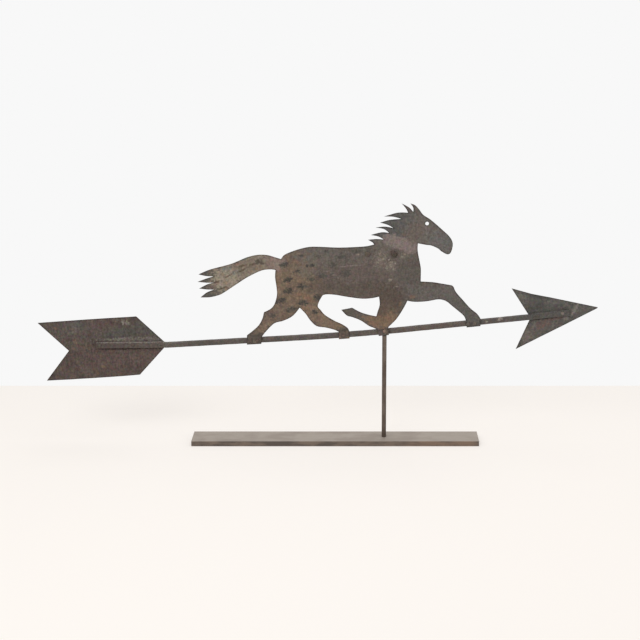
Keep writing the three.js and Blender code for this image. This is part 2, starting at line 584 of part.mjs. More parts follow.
// Bearing strap: two ears flat on the horse's back and a fold round the spindle, open towards the horse
function bearingStrap() {
  const bore = SPINDLE_DIAMETER / 2 + RUNNING_CLEARANCE;
  const outer = bore + STRAP_THICKNESS;
  const face = HORSE_BACK + GAP;
  const ear = face + STRAP_THICKNESS;
  const [rear, front] = SHOULDER_RIVET_REACH;
  const shape = new THREE.Shape();
  shape.moveTo(rear - STRAP_END, face);
  shape.lineTo(-bore, face);
  shape.lineTo(-bore, 0);
  shape.absarc(0, 0, bore, Math.PI, 0, true);
  shape.lineTo(bore, face);
  shape.lineTo(front + STRAP_END, face);
  shape.lineTo(front + STRAP_END, ear);
  shape.lineTo(outer + STRAP_FILLET, ear);
  shape.quadraticCurveTo(outer, ear, outer, ear + STRAP_FILLET);
  shape.absarc(0, 0, outer, 0, Math.PI, false);
  shape.lineTo(-outer, ear + STRAP_FILLET);
  shape.quadraticCurveTo(-outer, ear, -outer - STRAP_FILLET, ear);
  shape.lineTo(rear - STRAP_END, ear);
  const strap = new THREE.ExtrudeGeometry(shape, {
    depth: STRAP_WIDTH, bevelEnabled: false, curveSegments: ROUND_SIDES / 2,
  }).translate(0, 0, SHOULDER_HEIGHT - STRAP_WIDTH / 2);
  return cut(strap, SHOULDER_RIVET_REACH.map((x) => roundCutter(RIVET_HOLE, x, SHOULDER_HEIGHT)));
}

// Rivet with a round head in front and a peened tail behind; front and back are the faces that it grips
function rivet(front, back, headDiameter, headHeight) {
  const shank = RIVET_DIAMETER / 2;
  const tail = RIVET_TAIL_DIAMETER / 2;
  const seat = back + GAP;
  return turned([
    ...dome(headDiameter / 2, headHeight, front - GAP, DOME_STEPS),
    [shank, front - GAP], [shank, seat], [tail, seat], [tail, seat + RIVET_TAIL_HEIGHT / 2],
    [shank, seat + RIVET_TAIL_HEIGHT], [0, seat + RIVET_TAIL_HEIGHT],
  ], RIVET_SIDES);
}

// Flush rivet, level with the outer faces of the collar
function collarRivet() {
  const radius = COLLAR_RIVET_DIAMETER / 2;
  const front = COLLAR_FRONT_INSIDE - COLLAR_THICKNESS;
  const back = COLLAR_BACK_INSIDE + COLLAR_THICKNESS;
  return turned([[0, front], [radius, front], [radius, back], [0, back]], RIVET_SIDES);
}

// Keeper screw: round head on the collar, its tip in the spindle's groove
function keeperScrew() {
  const seat = COLLAR_FRONT_INSIDE - COLLAR_THICKNESS - GAP;
  const shank = KEEPER_DIAMETER / 2;
  const tip = KEEPER_TIP_DIAMETER / 2;
  const spindle = SPINDLE_DIAMETER / 2;
  const tipEnd = -(spindle - KEEPER_GROOVE_DEPTH + RUNNING_CLEARANCE);
  const shankEnd = -(spindle + RUNNING_CLEARANCE);
  return turned([
    ...dome(KEEPER_HEAD_DIAMETER / 2, KEEPER_HEAD_HEIGHT, seat, DOME_STEPS),
    [shank, seat], [shank, shankEnd], [tip, shankEnd], [tip, tipEnd], [0, tipEnd],
  ], ROUND_SIDES);
}

// Assembly
const mesh = (name, geometry, material) => Object.assign(new THREE.Mesh(geometry, material), { name });

const stand = new THREE.Group();
stand.add(mesh('base_bar', baseBar(), FINISHES.groundSteel()));
const post = new THREE.Group();
post.position.set(ROD_X, 0, 0);
post.add(mesh('stand_rod', standRod(), FINISHES.rodSteel()));
post.add(mesh('base_screw', baseScrew(), FINISHES.rodSteel()));
stand.add(post);

const vane = new THREE.Group();
vane.position.set(ROD_X, 0, PIVOT_HEIGHT);
vane.add(mesh('arrow_shaft', arrowShaft(), FINISHES.barIron()));
vane.add(mesh('fletching_plate', fletchingPlate(), FINISHES.tailIron()));
vane.add(mesh('arrowhead_plate', arrowheadPlate(), FINISHES.headIron()));
vane.add(mesh('horse_plate', horsePlate(), FINISHES.horseIron()));
vane.add(mesh('pivot_collar', pivotCollar(), FINISHES.barIron()));
vane.add(mesh('collar_rivet', collarRivet(), FINISHES.rivetIron()).translateX(COLLAR_RIVET_REACH)
  .translateZ(barRise(COLLAR_RIVET_REACH)));
vane.add(mesh('keeper_screw', keeperScrew(), FINISHES.rivetIron()).translateX(KEEPER_REACH)
  .translateZ(KEEPER_RISE));
vane.add(mesh('bearing_strap', bearingStrap(), FINISHES.barIron()));

// A row of rivets along the bar, each in its own node
function rivetRow(names, places, height, make) {
  names.forEach((name, i) => {
    const rivetMesh = mesh(name, make(), FINISHES.rivetIron());
    rivetMesh.position.set(places[i], 0, height(places[i]));
    vane.add(rivetMesh);
  });
}

const flatRivet = (back) => () => rivet(FLAT_FRONT, back, RIVET_HEAD_DIAMETER, RIVET_HEAD_HEIGHT);
const hoofRivet = () => rivet(HORSE_FRONT, BAR_BACK, RIVET_HEAD_DIAMETER, RIVET_HEAD_HEIGHT);
const shoulderRivet = () =>
  rivet(HORSE_FRONT, HORSE_BACK + GAP + STRAP_THICKNESS, SHOULDER_HEAD_DIAMETER, SHOULDER_HEAD_HEIGHT);
rivetRow(['tail_rivet_1', 'tail_rivet_2', 'tail_rivet_3'], TAIL_RIVET_PLACES, barRise,
  flatRivet(FLETCHING_BACK));
rivetRow(['head_rivet_1', 'head_rivet_2'], HEAD_RIVET_PLACES, barRise, flatRivet(ARROWHEAD_BACK));
rivetRow(['front_hoof_rivet_1', 'front_hoof_rivet_2'], FRONT_HOOF_RIVET_PLACES, barRise, hoofRivet);
rivetRow(['middle_hoof_rivet'], MIDDLE_HOOF_RIVET_PLACES, barRise, hoofRivet);
rivetRow(['rear_hoof_rivet_1', 'rear_hoof_rivet_2'], REAR_HOOF_RIVET_PLACES, barRise, hoofRivet);
rivetRow(['shoulder_rivet_rear', 'shoulder_rivet_front'], SHOULDER_RIVET_REACH, () => SHOULDER_HEIGHT,
  shoulderRivet);

const weathervane = new THREE.Group();
weathervane.add(stand, vane);

export default weathervane;
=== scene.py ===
"""The horse weathervane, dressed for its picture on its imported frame.

Sizes are in millimetres until a mesh is made. +X runs towards the arrowhead, +Z up, and the viewer is at -Y.
"""
import logging
import math
from dataclasses import dataclass
from enum import Enum
from typing import Any, Callable, Sequence

import bpy
import numpy as np
from mathutils import Euler, Matrix, Vector, noise
from mathutils.geometry import delaunay_2d_cdt


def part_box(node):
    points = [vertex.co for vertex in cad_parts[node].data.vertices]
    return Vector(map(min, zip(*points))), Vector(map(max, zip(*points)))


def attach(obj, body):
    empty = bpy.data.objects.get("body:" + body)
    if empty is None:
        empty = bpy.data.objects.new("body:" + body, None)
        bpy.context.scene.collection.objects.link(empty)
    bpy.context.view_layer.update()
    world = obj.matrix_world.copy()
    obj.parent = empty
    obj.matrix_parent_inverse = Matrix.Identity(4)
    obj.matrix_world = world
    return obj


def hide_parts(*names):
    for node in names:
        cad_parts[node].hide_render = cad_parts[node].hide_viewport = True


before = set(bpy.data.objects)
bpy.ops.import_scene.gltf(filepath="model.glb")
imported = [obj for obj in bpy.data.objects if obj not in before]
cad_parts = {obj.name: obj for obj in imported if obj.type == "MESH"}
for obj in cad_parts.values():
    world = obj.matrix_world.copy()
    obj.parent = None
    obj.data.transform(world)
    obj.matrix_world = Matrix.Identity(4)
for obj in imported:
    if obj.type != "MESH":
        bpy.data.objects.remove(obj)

LOG = logging.getLogger("weathervane")
MM = 0.001
GAP = 0.3  # between solids that touch on the real object
CREASE = 0.5  # an edge sharper than this angle, in radians, stays sharp
CLOUDS = (0.3, 0.7)  # most values of a noise lie between these
PATCHES = (0.38, 0.62)  # between these a noise turns from one patch to the next
GLOSS = (0.35, 0.65)  # between these a noise changes the gloss
SPECULAR = 0.12  # old, dry metal hardly glints
COLUMN = 8  # nodes in one column of a tree's layout
SHOULDER_REACHES = (-31.0, 15.4)  # the shoulder rivets' distances from the spindle
SHOULDER_RISE = 142.783  # their height above the spindle's crossing of the bar

Colour = tuple[int, int, int]
Point = tuple[float, float]
Place = tuple[float, float, float]
Socket = bpy.types.NodeSocket


def linear(colour: Colour) -> tuple[float, float, float, float]:
    """Turns a colour as it shows on a screen into the one that a shader takes.

    Args:
        colour: Red, green and blue from 0 to 255.

    Returns:
        The linear colour, with its alpha of 1.
    """
    shares = [value / 255 for value in colour]
    red, green, blue = (s / 12.92 if s <= 0.04045 else ((s + 0.055) / 1.055) ** 2.4 for s in shares)
    return red, green, blue, 1.0


def smooth_step(low: float, high: float, value: float) -> float:
    """Rises smoothly from 0 at low to 1 at high."""
    share = min(1.0, max(0.0, (value - low) / (high - low)))
    return share * share * (3 - 2 * share)


class Graph:
    """A node tree that is built one node after another."""

    def __init__(self, tree: bpy.types.NodeTree, *families: str) -> None:
        """Takes a tree and the families that its nodes come from, such as Shader, the likeliest first."""
        self.tree, self.families = tree, families

    def add(self, kind: str, inputs: dict[Any, Any] | None = None, **settings: Any) -> bpy.types.Node:
        """Adds a node.

        Args:
            kind: The node's type name without its family.
            inputs: What each input takes, a value or another node's output.
            settings: The node's own properties.

        Returns:
            The new node.
        """
        names = (f"{family}Node{kind}" for family in self.families)
        node = self.tree.nodes.new(next(name for name in names if hasattr(bpy.types, name)))
        column, row = divmod(len(self.tree.nodes), COLUMN)
        node.location = (220 * column, -180 * row)
        for key, value in settings.items():
            setattr(node, key, value)
        for key, value in (inputs or {}).items():
            if isinstance(value, Socket):
                self.tree.links.new(value, node.inputs[key])
            else:
                node.inputs[key].default_value = value
        return node

    def out(self, kind: str, inputs: dict[Any, Any] | None = None, **settings: Any) -> Socket:
        """Adds a node and gives its first output."""
        return self.add(kind, inputs, **settings).outputs[0]

    def math(self, operation: str, first: Any, second: Any = 0.0, **settings: Any) -> Socket:
        """Works out one sum of two values."""
        return self.out("Math", {0: first, 1: second}, operation=operation, **settings)

    def remap(self, value: Socket, low: Any, high: Any, first: float = 0.0, last: float = 1.0) -> Socket:
        """Carries low to first and high to last, smoothly and without overshoot."""
        inputs = {"Value": value, "From Min": low, "From Max": high, "To Min": first, "To Max": last}
        return self.add("MapRange", inputs, interpolation_type="SMOOTHSTEP").outputs["Result"]

    def scaled(self, vector: Any, share: Socket) -> Socket:
        """Makes a vector longer or shorter, or a colour lighter or darker, by a factor."""
        return self.out("VectorMath", {0: vector, "Scale": share}, operation="SCALE")


# Finishes


class Outline(Enum):
    """How far noise moves the edge of a painted or rusted spot, as a share of its fade."""

    SOFT = 0.9
    RAGGED = 1.6
    CRISP = 0.3


class Faces(Enum):
    """Which faces of a sheet a layer lies on."""

    BOTH = "both"
    NEAR = "near"


@dataclass(frozen=True)
class Spot:
    """A turned oval in X and Z that fades at its edge.

    Width and height are from its middle to its edge, turn is in degrees, and fade is a share of its size.
    """

    x: float
    z: float
    width: float
    height: float
    turn: float
    fade: float

    def depth(self, x: np.ndarray, z: np.ndarray) -> np.ndarray:
        """Works out how deep places lie in the spot.

        Args:
            x: The places' X.
            z: The places' Z.

        Returns:
            0.5 on the spot's edge, 1 and more inside it, and 0 and less outside it.
        """
        cosine, sine = math.cos(math.radians(self.turn)), math.sin(math.radians(self.turn))
        along, up = x - self.x, z - self.z
        wide, high = (along * cosine + up * sine) / self.width, (up * cosine - along * sine) / self.height
        return np.clip(0.5 + (1 - np.hypot(wide, high)) / self.fade, -1.0, 2.0)


@dataclass(frozen=True)
class Layer:
    """One colour that lies over a finish inside its spots, eaten into by grain."""

    colour: Colour
    strength: float
    spots: tuple[Spot, ...]
    outline: Outline = Outline.SOFT
    grain: float = 4.0
    break_up: float = 0.3
    faces: Faces = Faces.BOTH


def layer(colour: Colour, strength: float, fade: float, *rows: tuple[float, ...], **style: Any) -> Layer:
    """Makes a layer from rows of its spots' values.

    Args:
        colour: The layer's colour.
        strength: How far it hides what is below it.
        fade: The fade of its spots.
        rows: Each spot's X, Z, width and height, then its turn and its own fade if it has them.
        style: Any of the layer's other values.

    Returns:
        The layer.
    """
    return Layer(colour, strength, tuple(Spot(*row, *(0.0, fade)[len(row) - 4:]) for row in rows), **style)


class NodeSheet(Graph):
    """A material whose nodes are added one after another."""

    def __init__(self, name: str) -> None:
        """Starts an empty material.

        Args:
            name: The material's name.
        """
        self.material = bpy.data.materials.new(name)
        self.material.use_nodes = True
        super().__init__(self.material.node_tree, "Shader")
        self.tree.nodes.clear()

    def vector(self, operation: str, *values: Any) -> Socket:
        """Works out one sum of vectors."""
        return self.out("VectorMath", dict(enumerate(values)), operation=operation)

    def place(self) -> Socket:
        """Gives the place on the object in millimetres."""
        return self.vector("MULTIPLY", self.add("TexCoord").outputs["Object"], (1 / MM,) * 3)

    def product(self, first: Any, second: Any) -> Socket:
        """Multiplies two shares, kept within 0 and 1."""
        return self.math("MULTIPLY", first, second, use_clamp=True)

    def noise_node(
        self, place: Socket, size: float, detail: float, stretch: Place = (1.0, 1.0, 1.0)
    ) -> bpy.types.Node:
        """Adds a cloudy noise.

        Args:
            place: Where it is read.
            size: How large its clouds are, in millimetres.
            detail: How many finer layers it has.
            stretch: How much longer its clouds are along X, Y and Z.

        Returns:
            The noise's node.
        """
        where = self.vector("MULTIPLY", place, tuple(1 / (size * s) for s in stretch))
        return self.add("TexNoise", {"Vector": where, "Scale": 1.0, "Detail": detail})

    def noise(self, *values: Any) -> Socket:
        """Gives the value of such a noise, from 0 to 1."""
        return self.noise_node(*values).outputs["Fac"]

    def warp(self, place: Socket, size: float, reach: float) -> Socket:
        """Shifts a place by cloudy noise.

        Args:
            place: The place.
            size: How large the clouds are, in millimetres.
            reach: About how far it is shifted each way.

        Returns:
            The place that it is shifted to.
        """
        cloud = self.noise_node(place, size, 2.0).outputs["Color"]
        centred = self.vector("SUBTRACT", cloud, (0.5, 0.5, 0.5))
        return self.vector("ADD", place, self.vector("MULTIPLY", centred, (4 * reach,) * 3))

    def mix(self, share: Any, below: Any, above: Any) -> Socket:
        """Lays one colour over another by a share."""
        return self.add("Mix", {0: share, 6: below, 7: above}, data_type="RGBA").outputs[2]

    def painted(self, name: str) -> Socket:
        """Reads a value that is painted on the piece's corners."""
        return self.add("Attribute", attribute_name=name, attribute_type="GEOMETRY").outputs["Fac"]

    def toned(self, colour: Any, cloud: Socket, darkest: float, lightest: float) -> Socket:
        """Makes a colour darker and lighter as a noise goes down and up."""
        return self.scaled(colour, self.remap(cloud, *CLOUDS, darkest, lightest))

    def wander(self, colour: Any, place: Socket, size: float, reach: float) -> Socket:
        """Lets a colour's red, green and blue drift apart in clouds.

        Args:
            colour: The colour.
            place: Where it is read.
            size: How large the clouds are, in millimetres.
            reach: How far each part drifts, as a share.

        Returns:
            The uneven colour.
        """
        cloud = self.noise_node(place, size, 3.0).outputs["Color"]
        factor = self.vector("MULTIPLY_ADD", cloud, (2 * reach,) * 3, (1 - reach,) * 3)
        return self.vector("MULTIPLY", colour, factor)

    def close(
        self, colour: Socket, roughness: Socket, metallic: float, height: Socket, depth: float
    ) -> bpy.types.Material:
        """Ends the material with its shader.

        Args:
            colour: The base colour.
            roughness: The roughness.
            metallic: How far it is bare metal.
            height: The relief, from 0 to 1.
            depth: How deep that relief is, in millimetres.

        Returns:
            The finished material.
        """
        shader = self.out("BsdfPrincipled", {
            "Base Color": colour, "Roughness": roughness, "Metallic": metallic,
            "Specular IOR Level": SPECULAR,
            "Normal": self.out("Bump", {"Strength": 1.0, "Distance": depth * MM, "Height": height}),
        })
        self.add("OutputMaterial", {"Surface": shader})
        return self.material


@dataclass(frozen=True)
class WeatheredIron:
    """Old iron: two tones in patches, a bloom of rust, coloured layers (some of them painted shade, shadow
    and highlights), uneven tone, dark rims and pits.

    The sizes of patches, clouds, pits and the like are in millimetres. A window is the part of a noise over
    which its effect sets in.
    """

    name: str
    dark: Colour
    light: Colour
    bloom: Colour
    bloom_share: float = 0.35
    bloom_cloud: float = 7.0
    bloom_window: Point = (0.5, 0.68)
    patch: float = 24.0
    layers: tuple[Layer, ...] = ()
    wear_window: Point = (0.35, 0.6)
    drift: float = 0.3
    drift_cloud: float = 5.0
    streak: float = 0.05
    streak_size: float = 2.2
    streak_stretch: Place = (1.0, 1.0, 4.5)
    mottle: float = 0.14
    mottle_size: float = 3.6
    speckle: float = 0.10
    speckle_size: float = 1.3
    rim: float = 0.0
    rim_start: float = 0.4
    rim_width: float = 2.8
    rim_wander: float = 0.6
    smooth: float = 0.62
    rough: float = 0.92
    pits: float = 0.12
    pit_size: float = 1.6
    pit_window: Point = (0.35, 0.55)
    swell_size: float = 9.0

    def material(self) -> bpy.types.Material:
        """Builds the finish as a material, which reads how deep each place lies in each layer.

        Returns:
            The material.
        """
        sheet = NodeSheet(self.name)
        place = sheet.place()
        patches = sheet.remap(sheet.noise(place, self.patch, 4.0), *PATCHES)
        colour = sheet.mix(patches, linear(self.dark), linear(self.light))
        cloud = sheet.noise(place, self.bloom_cloud, 5.0)
        rust = sheet.remap(cloud, *self.bloom_window, 0.0, self.bloom_share)
        colour = sheet.mix(rust, colour, linear(self.bloom))
        colour = self._layered(sheet, place, colour)
        colour = sheet.wander(colour, place, self.drift_cloud, self.drift)
        for grain, share in (
            (sheet.noise(place, self.streak_size, 2.0, self.streak_stretch), self.streak),
            (sheet.noise(place, self.mottle_size, 3.0), self.mottle),
            (sheet.noise(place, self.speckle_size, 3.0), self.speckle),
        ):
            colour = sheet.toned(colour, grain, 1 - share, 1 + share)
        if self.rim:
            worn = sheet.remap(cloud, *CLOUDS, -self.rim_wander, self.rim_wander)
            reach = sheet.math("ADD", sheet.painted("rim"), worn)
            shade = sheet.remap(reach, self.rim_start, self.rim_width, 1 - self.rim, 1.0)
            colour = sheet.scaled(colour, shade)
        roughness = sheet.remap(cloud, *GLOSS, self.smooth, self.rough)
        pits = sheet.remap(sheet.noise(place, self.pit_size, 4.0), *self.pit_window)
        height = sheet.mix(0.5, pits, sheet.noise(place, self.swell_size, 2.0))
        return sheet.close(colour, roughness, 0.0, height, self.pits)

    def _layered(self, sheet: NodeSheet, place: Socket, colour: Socket) -> Socket:
        """Lays the layers over a colour.

        Args:
            sheet: The material's nodes.
            place: The place on the object.
            colour: The colour below them.

        Returns:
            The colour with all layers on it.
        """
        grains: dict[float, Socket] = {}
        for number, item in enumerate(self.layers):
            if item.grain not in grains:
                grains[item.grain] = sheet.noise(place, item.grain, 5.0)
            grain, edge = grains[item.grain], item.outline.value
            shift = sheet.remap(grain, *CLOUDS, -edge / 2, edge / 2)
            depth = sheet.math("ADD", sheet.painted(f"layer_{number}"), shift)
            worn = sheet.remap(grain, *self.wear_window, item.strength * (1 - item.break_up), item.strength)
            share = sheet.product(sheet.remap(depth, 0.0, 1.0), worn)
            colour = sheet.mix(share, colour, linear(item.colour))
        return colour

    def dress(self, piece: bpy.types.Object) -> None:
        """Paints the layers' depths on the piece's corners, and gives it the material."""
        self.paint(piece)
        dress(piece, self.material())

    def paint(self, piece: bpy.types.Object) -> None:
        """Writes on a piece's corners how deep they lie in each layer's spots.

        Args:
            piece: The piece.
        """
        mesh = piece.data
        places, normals = np.empty(3 * len(mesh.vertices)), np.empty(3 * len(mesh.vertices))
        mesh.vertices.foreach_get("co", places)
        mesh.vertices.foreach_get("normal", normals)
        x, z, far = places[0::3] / MM, places[2::3] / MM, normals[1::3] > 0.5
        for number, item in enumerate(self.layers):
            depths = np.max([spot.depth(x, z) for spot in item.spots], axis=0)
            if item.faces is Faces.NEAR:
                depths[far] = -1.0
            write(mesh, f"layer_{number}", depths)


def write(mesh: bpy.types.Mesh, name: str, values: np.ndarray) -> None:
    """Writes a named value on each of a mesh's corners."""
    painted = mesh.attributes.new(name, "FLOAT", "POINT")
    painted.data.foreach_set("value", values.astype(np.float32))


def dress(piece: bpy.types.Object, finish: bpy.types.Material) -> None:
    """Gives a piece one finish all over."""
    piece.data.materials.clear()
    piece.data.materials.append(finish)


@dataclass(frozen=True)
class GroundSteel:
    """Flat bar with a pale ground top, made paler by painted top light and reflection, and browner edges,
    rusty along one stretch of X.
    """

    name: str = "ground_steel"
    # the top colours carry painted top light and reflection besides the ground finish's own paleness
    top: Colour = (160, 150, 140)
    top_shade: Colour = (150, 140, 131)
    side: Colour = (94, 86, 80)
    side_shade: Colour = (121, 108, 97)
    rust: Colour = (130, 110, 95)
    rust_from: Point = (105.0, 165.0)
    rust_to: Point = (262.0, 242.0)
    rust_window: Point = (0.3, 0.6)
    rust_shares: Point = (0.25, 0.8)
    rust_warp: Point = (9.0, 3.0)
    line_size: float = 1.1
    line_stretch: Place = (60.0, 1.0, 1.0)
    top_cloud: float = 26.0
    top_stretch: Place = (1.6, 1.0, 1.0)
    top_window: Point = (0.42, 0.68)
    top_tones: Point = (0.96, 1.05)
    side_cloud: float = 16.0
    side_stretch: Place = (2.2, 1.0, 0.5)
    side_window: Point = (0.4, 0.62)
    side_speckle: float = 1.4
    side_tones: Point = (0.92, 1.08)
    top_facing: Point = (0.75, 0.95)
    gloss: Point = (0.42, 0.58)
    metallic: float = 0.25
    relief: float = 0.03

    def material(self) -> bpy.types.Material:
        """Builds the finish as a material.

        Returns:
            The material.
        """
        sheet = NodeSheet(self.name)
        place = sheet.place()
        normal = sheet.add("TexCoord").outputs["Normal"]
        upward = sheet.add("SeparateXYZ", {0: normal}).outputs["Z"]
        brushed = sheet.noise(place, self.line_size, 3.0, self.line_stretch)
        clouds = sheet.noise(place, self.top_cloud, 4.0, self.top_stretch)
        shade = sheet.remap(clouds, *self.top_window)
        top = sheet.mix(shade, linear(self.top), linear(self.top_shade))
        top = sheet.toned(top, brushed, *self.top_tones)
        edge_clouds = sheet.noise(place, self.side_cloud, 4.0, self.side_stretch)
        shade = sheet.remap(edge_clouds, *self.side_window)
        side = sheet.mix(shade, linear(self.side), linear(self.side_shade))
        along = sheet.out("SeparateXYZ", {0: sheet.warp(place, *self.rust_warp)})
        rust = sheet.product(sheet.remap(along, *self.rust_from), sheet.remap(along, *self.rust_to))
        rust = sheet.product(rust, sheet.remap(edge_clouds, *self.rust_window, *self.rust_shares))
        side = sheet.mix(rust, side, linear(self.rust))
        side = sheet.toned(side, sheet.noise(place, self.side_speckle, 3.0), *self.side_tones)
        # faces that point up take the pale top colour: partly the ground finish, partly painted top light and
        # reflection
        colour = sheet.mix(sheet.remap(upward, *self.top_facing), side, top)
        gloss = sheet.remap(clouds, *GLOSS, *self.gloss)
        return sheet.close(colour, gloss, self.metallic, brushed, self.relief)


@dataclass(frozen=True)
class RodSteel:
    """Drawn round rod with fine lines along it and a dull brown tarnish."""

    name: str = "rod_steel"
    dark: Colour = (92, 81, 73)
    light: Colour = (112, 101, 92)
    line_size: float = 0.9
    line_stretch: Place = (1.0, 1.0, 40.0)
    cloud: float = 12.0
    stretch: Place = (1.0, 1.0, 2.5)
    tones: Point = (0.94, 1.06)
    gloss: Point = (0.38, 0.55)
    metallic: float = 0.45
    relief: float = 0.02

    def material(self) -> bpy.types.Material:
        """Builds the finish as a material.

        Returns:
            The material.
        """
        sheet = NodeSheet(self.name)
        place = sheet.place()
        drawn = sheet.noise(place, self.line_size, 2.0, self.line_stretch)
        clouds = sheet.noise(place, self.cloud, 4.0, self.stretch)
        colour = sheet.mix(sheet.remap(clouds, *PATCHES), linear(self.dark), linear(self.light))
        colour = sheet.toned(colour, drawn, *self.tones)
        gloss = sheet.remap(clouds, *GLOSS, *self.gloss)
        return sheet.close(colour, gloss, self.metallic, drawn, self.relief)


# each dapple's X, Z, width, height and, where it is turned, its turn
DAPPLES = (
    (-92.2, 331.8, 4.7, 2.1), (-85.1, 335.4, 3.8, 3.5), (-48.3, 331.3, 2.1, 2.5), (-39.6, 332.7, 3.3, 2.9),
    (-64.2, 323.1, 3.8, 1.7), (-71.3, 319.3, 2, 1.4), (-79.4, 307, 4.7, 3.8), (-88.6, 303.7, 2.4, 2.4),
    (-84.7, 305.9, 3.4, 2), (-57, 294.1, 3.4, 3.4), (-58.4, 298.3, 2.2, 1.9), (-64.6, 293.5, 3.9, 1.5),
    (-56.7, 289.1, 1.4, 1.9), (-78.8, 286, 4.7, 4.2), (-88, 284.6, 3.5, 2.3), (-78.8, 289.9, 2.4, 2),
    (-81.3, 281.5, 1.5, 1.6), (-93.2, 269.4, 5.8, 3.4, 10), (-101.6, 265.4, 2.8, 2.8),
    (-93.6, 266.1, 1.9, 1.9), (-55.7, 266.1, 3.7, 3.3), (-61.4, 261.7, 3.7, 1.8, -20), (-49, 263.2, 3, 1.6),
    (-57.9, 261.3, 2.6, 1.6), (-30.4, 274.5, 6.1, 3.8, 10), (-26.3, 274, 2.6, 4.5), (-28.6, 270.3, 2.4, 2),
    (-77.5, 254.3, 2.8, 1.8), (-71.3, 253.2, 5.4, 1.5, 15), (-82.9, 248.8, 2.6, 1.8, -20),
    (-37.7, 248.8, 2.8, 2.3), (-33.3, 246.4, 3.9, 1.5),
)
DAPPLE_GROUNDS = (
    (-87.5, 333.6, 9, 4.6, 8), (-82, 306.4, 8, 4.8), (-57.5, 295.2, 7.4, 5.2), (-82.3, 285.8, 8.6, 5.2),
    (-95, 267.9, 8.8, 4.8, 10), (-56.1, 263.6, 9.4, 4.6), (-29.8, 274, 8, 6), (-40, 331.6, 4.4, 3),
    (-47.6, 331.4, 2.8, 2.6),
)
FAINT_DAPPLES = (
    (-77, 251.4, 10.5, 4.4, 18), (-35.4, 247.8, 6.4, 4.2), (-110, 240.8, 8, 5), (-66, 320.8, 7, 2.4),
    (-47, 293.7, 7, 1.6), (-2, 332.4, 7, 5.4), (19.8, 318.2, 8.6, 6), (-22, 312.8, 8.6, 5),
    (-41, 308.2, 7, 3.8), (11.4, 347.5, 7.1, 3.4), (-28.9, 348, 5.4, 2.4), (-60.4, 349.8, 6, 2.2),
    (38.2, 357.4, 6.8, 3.4), (-14, 357, 5.6, 2.8), (-4.6, 315, 4, 3),
)

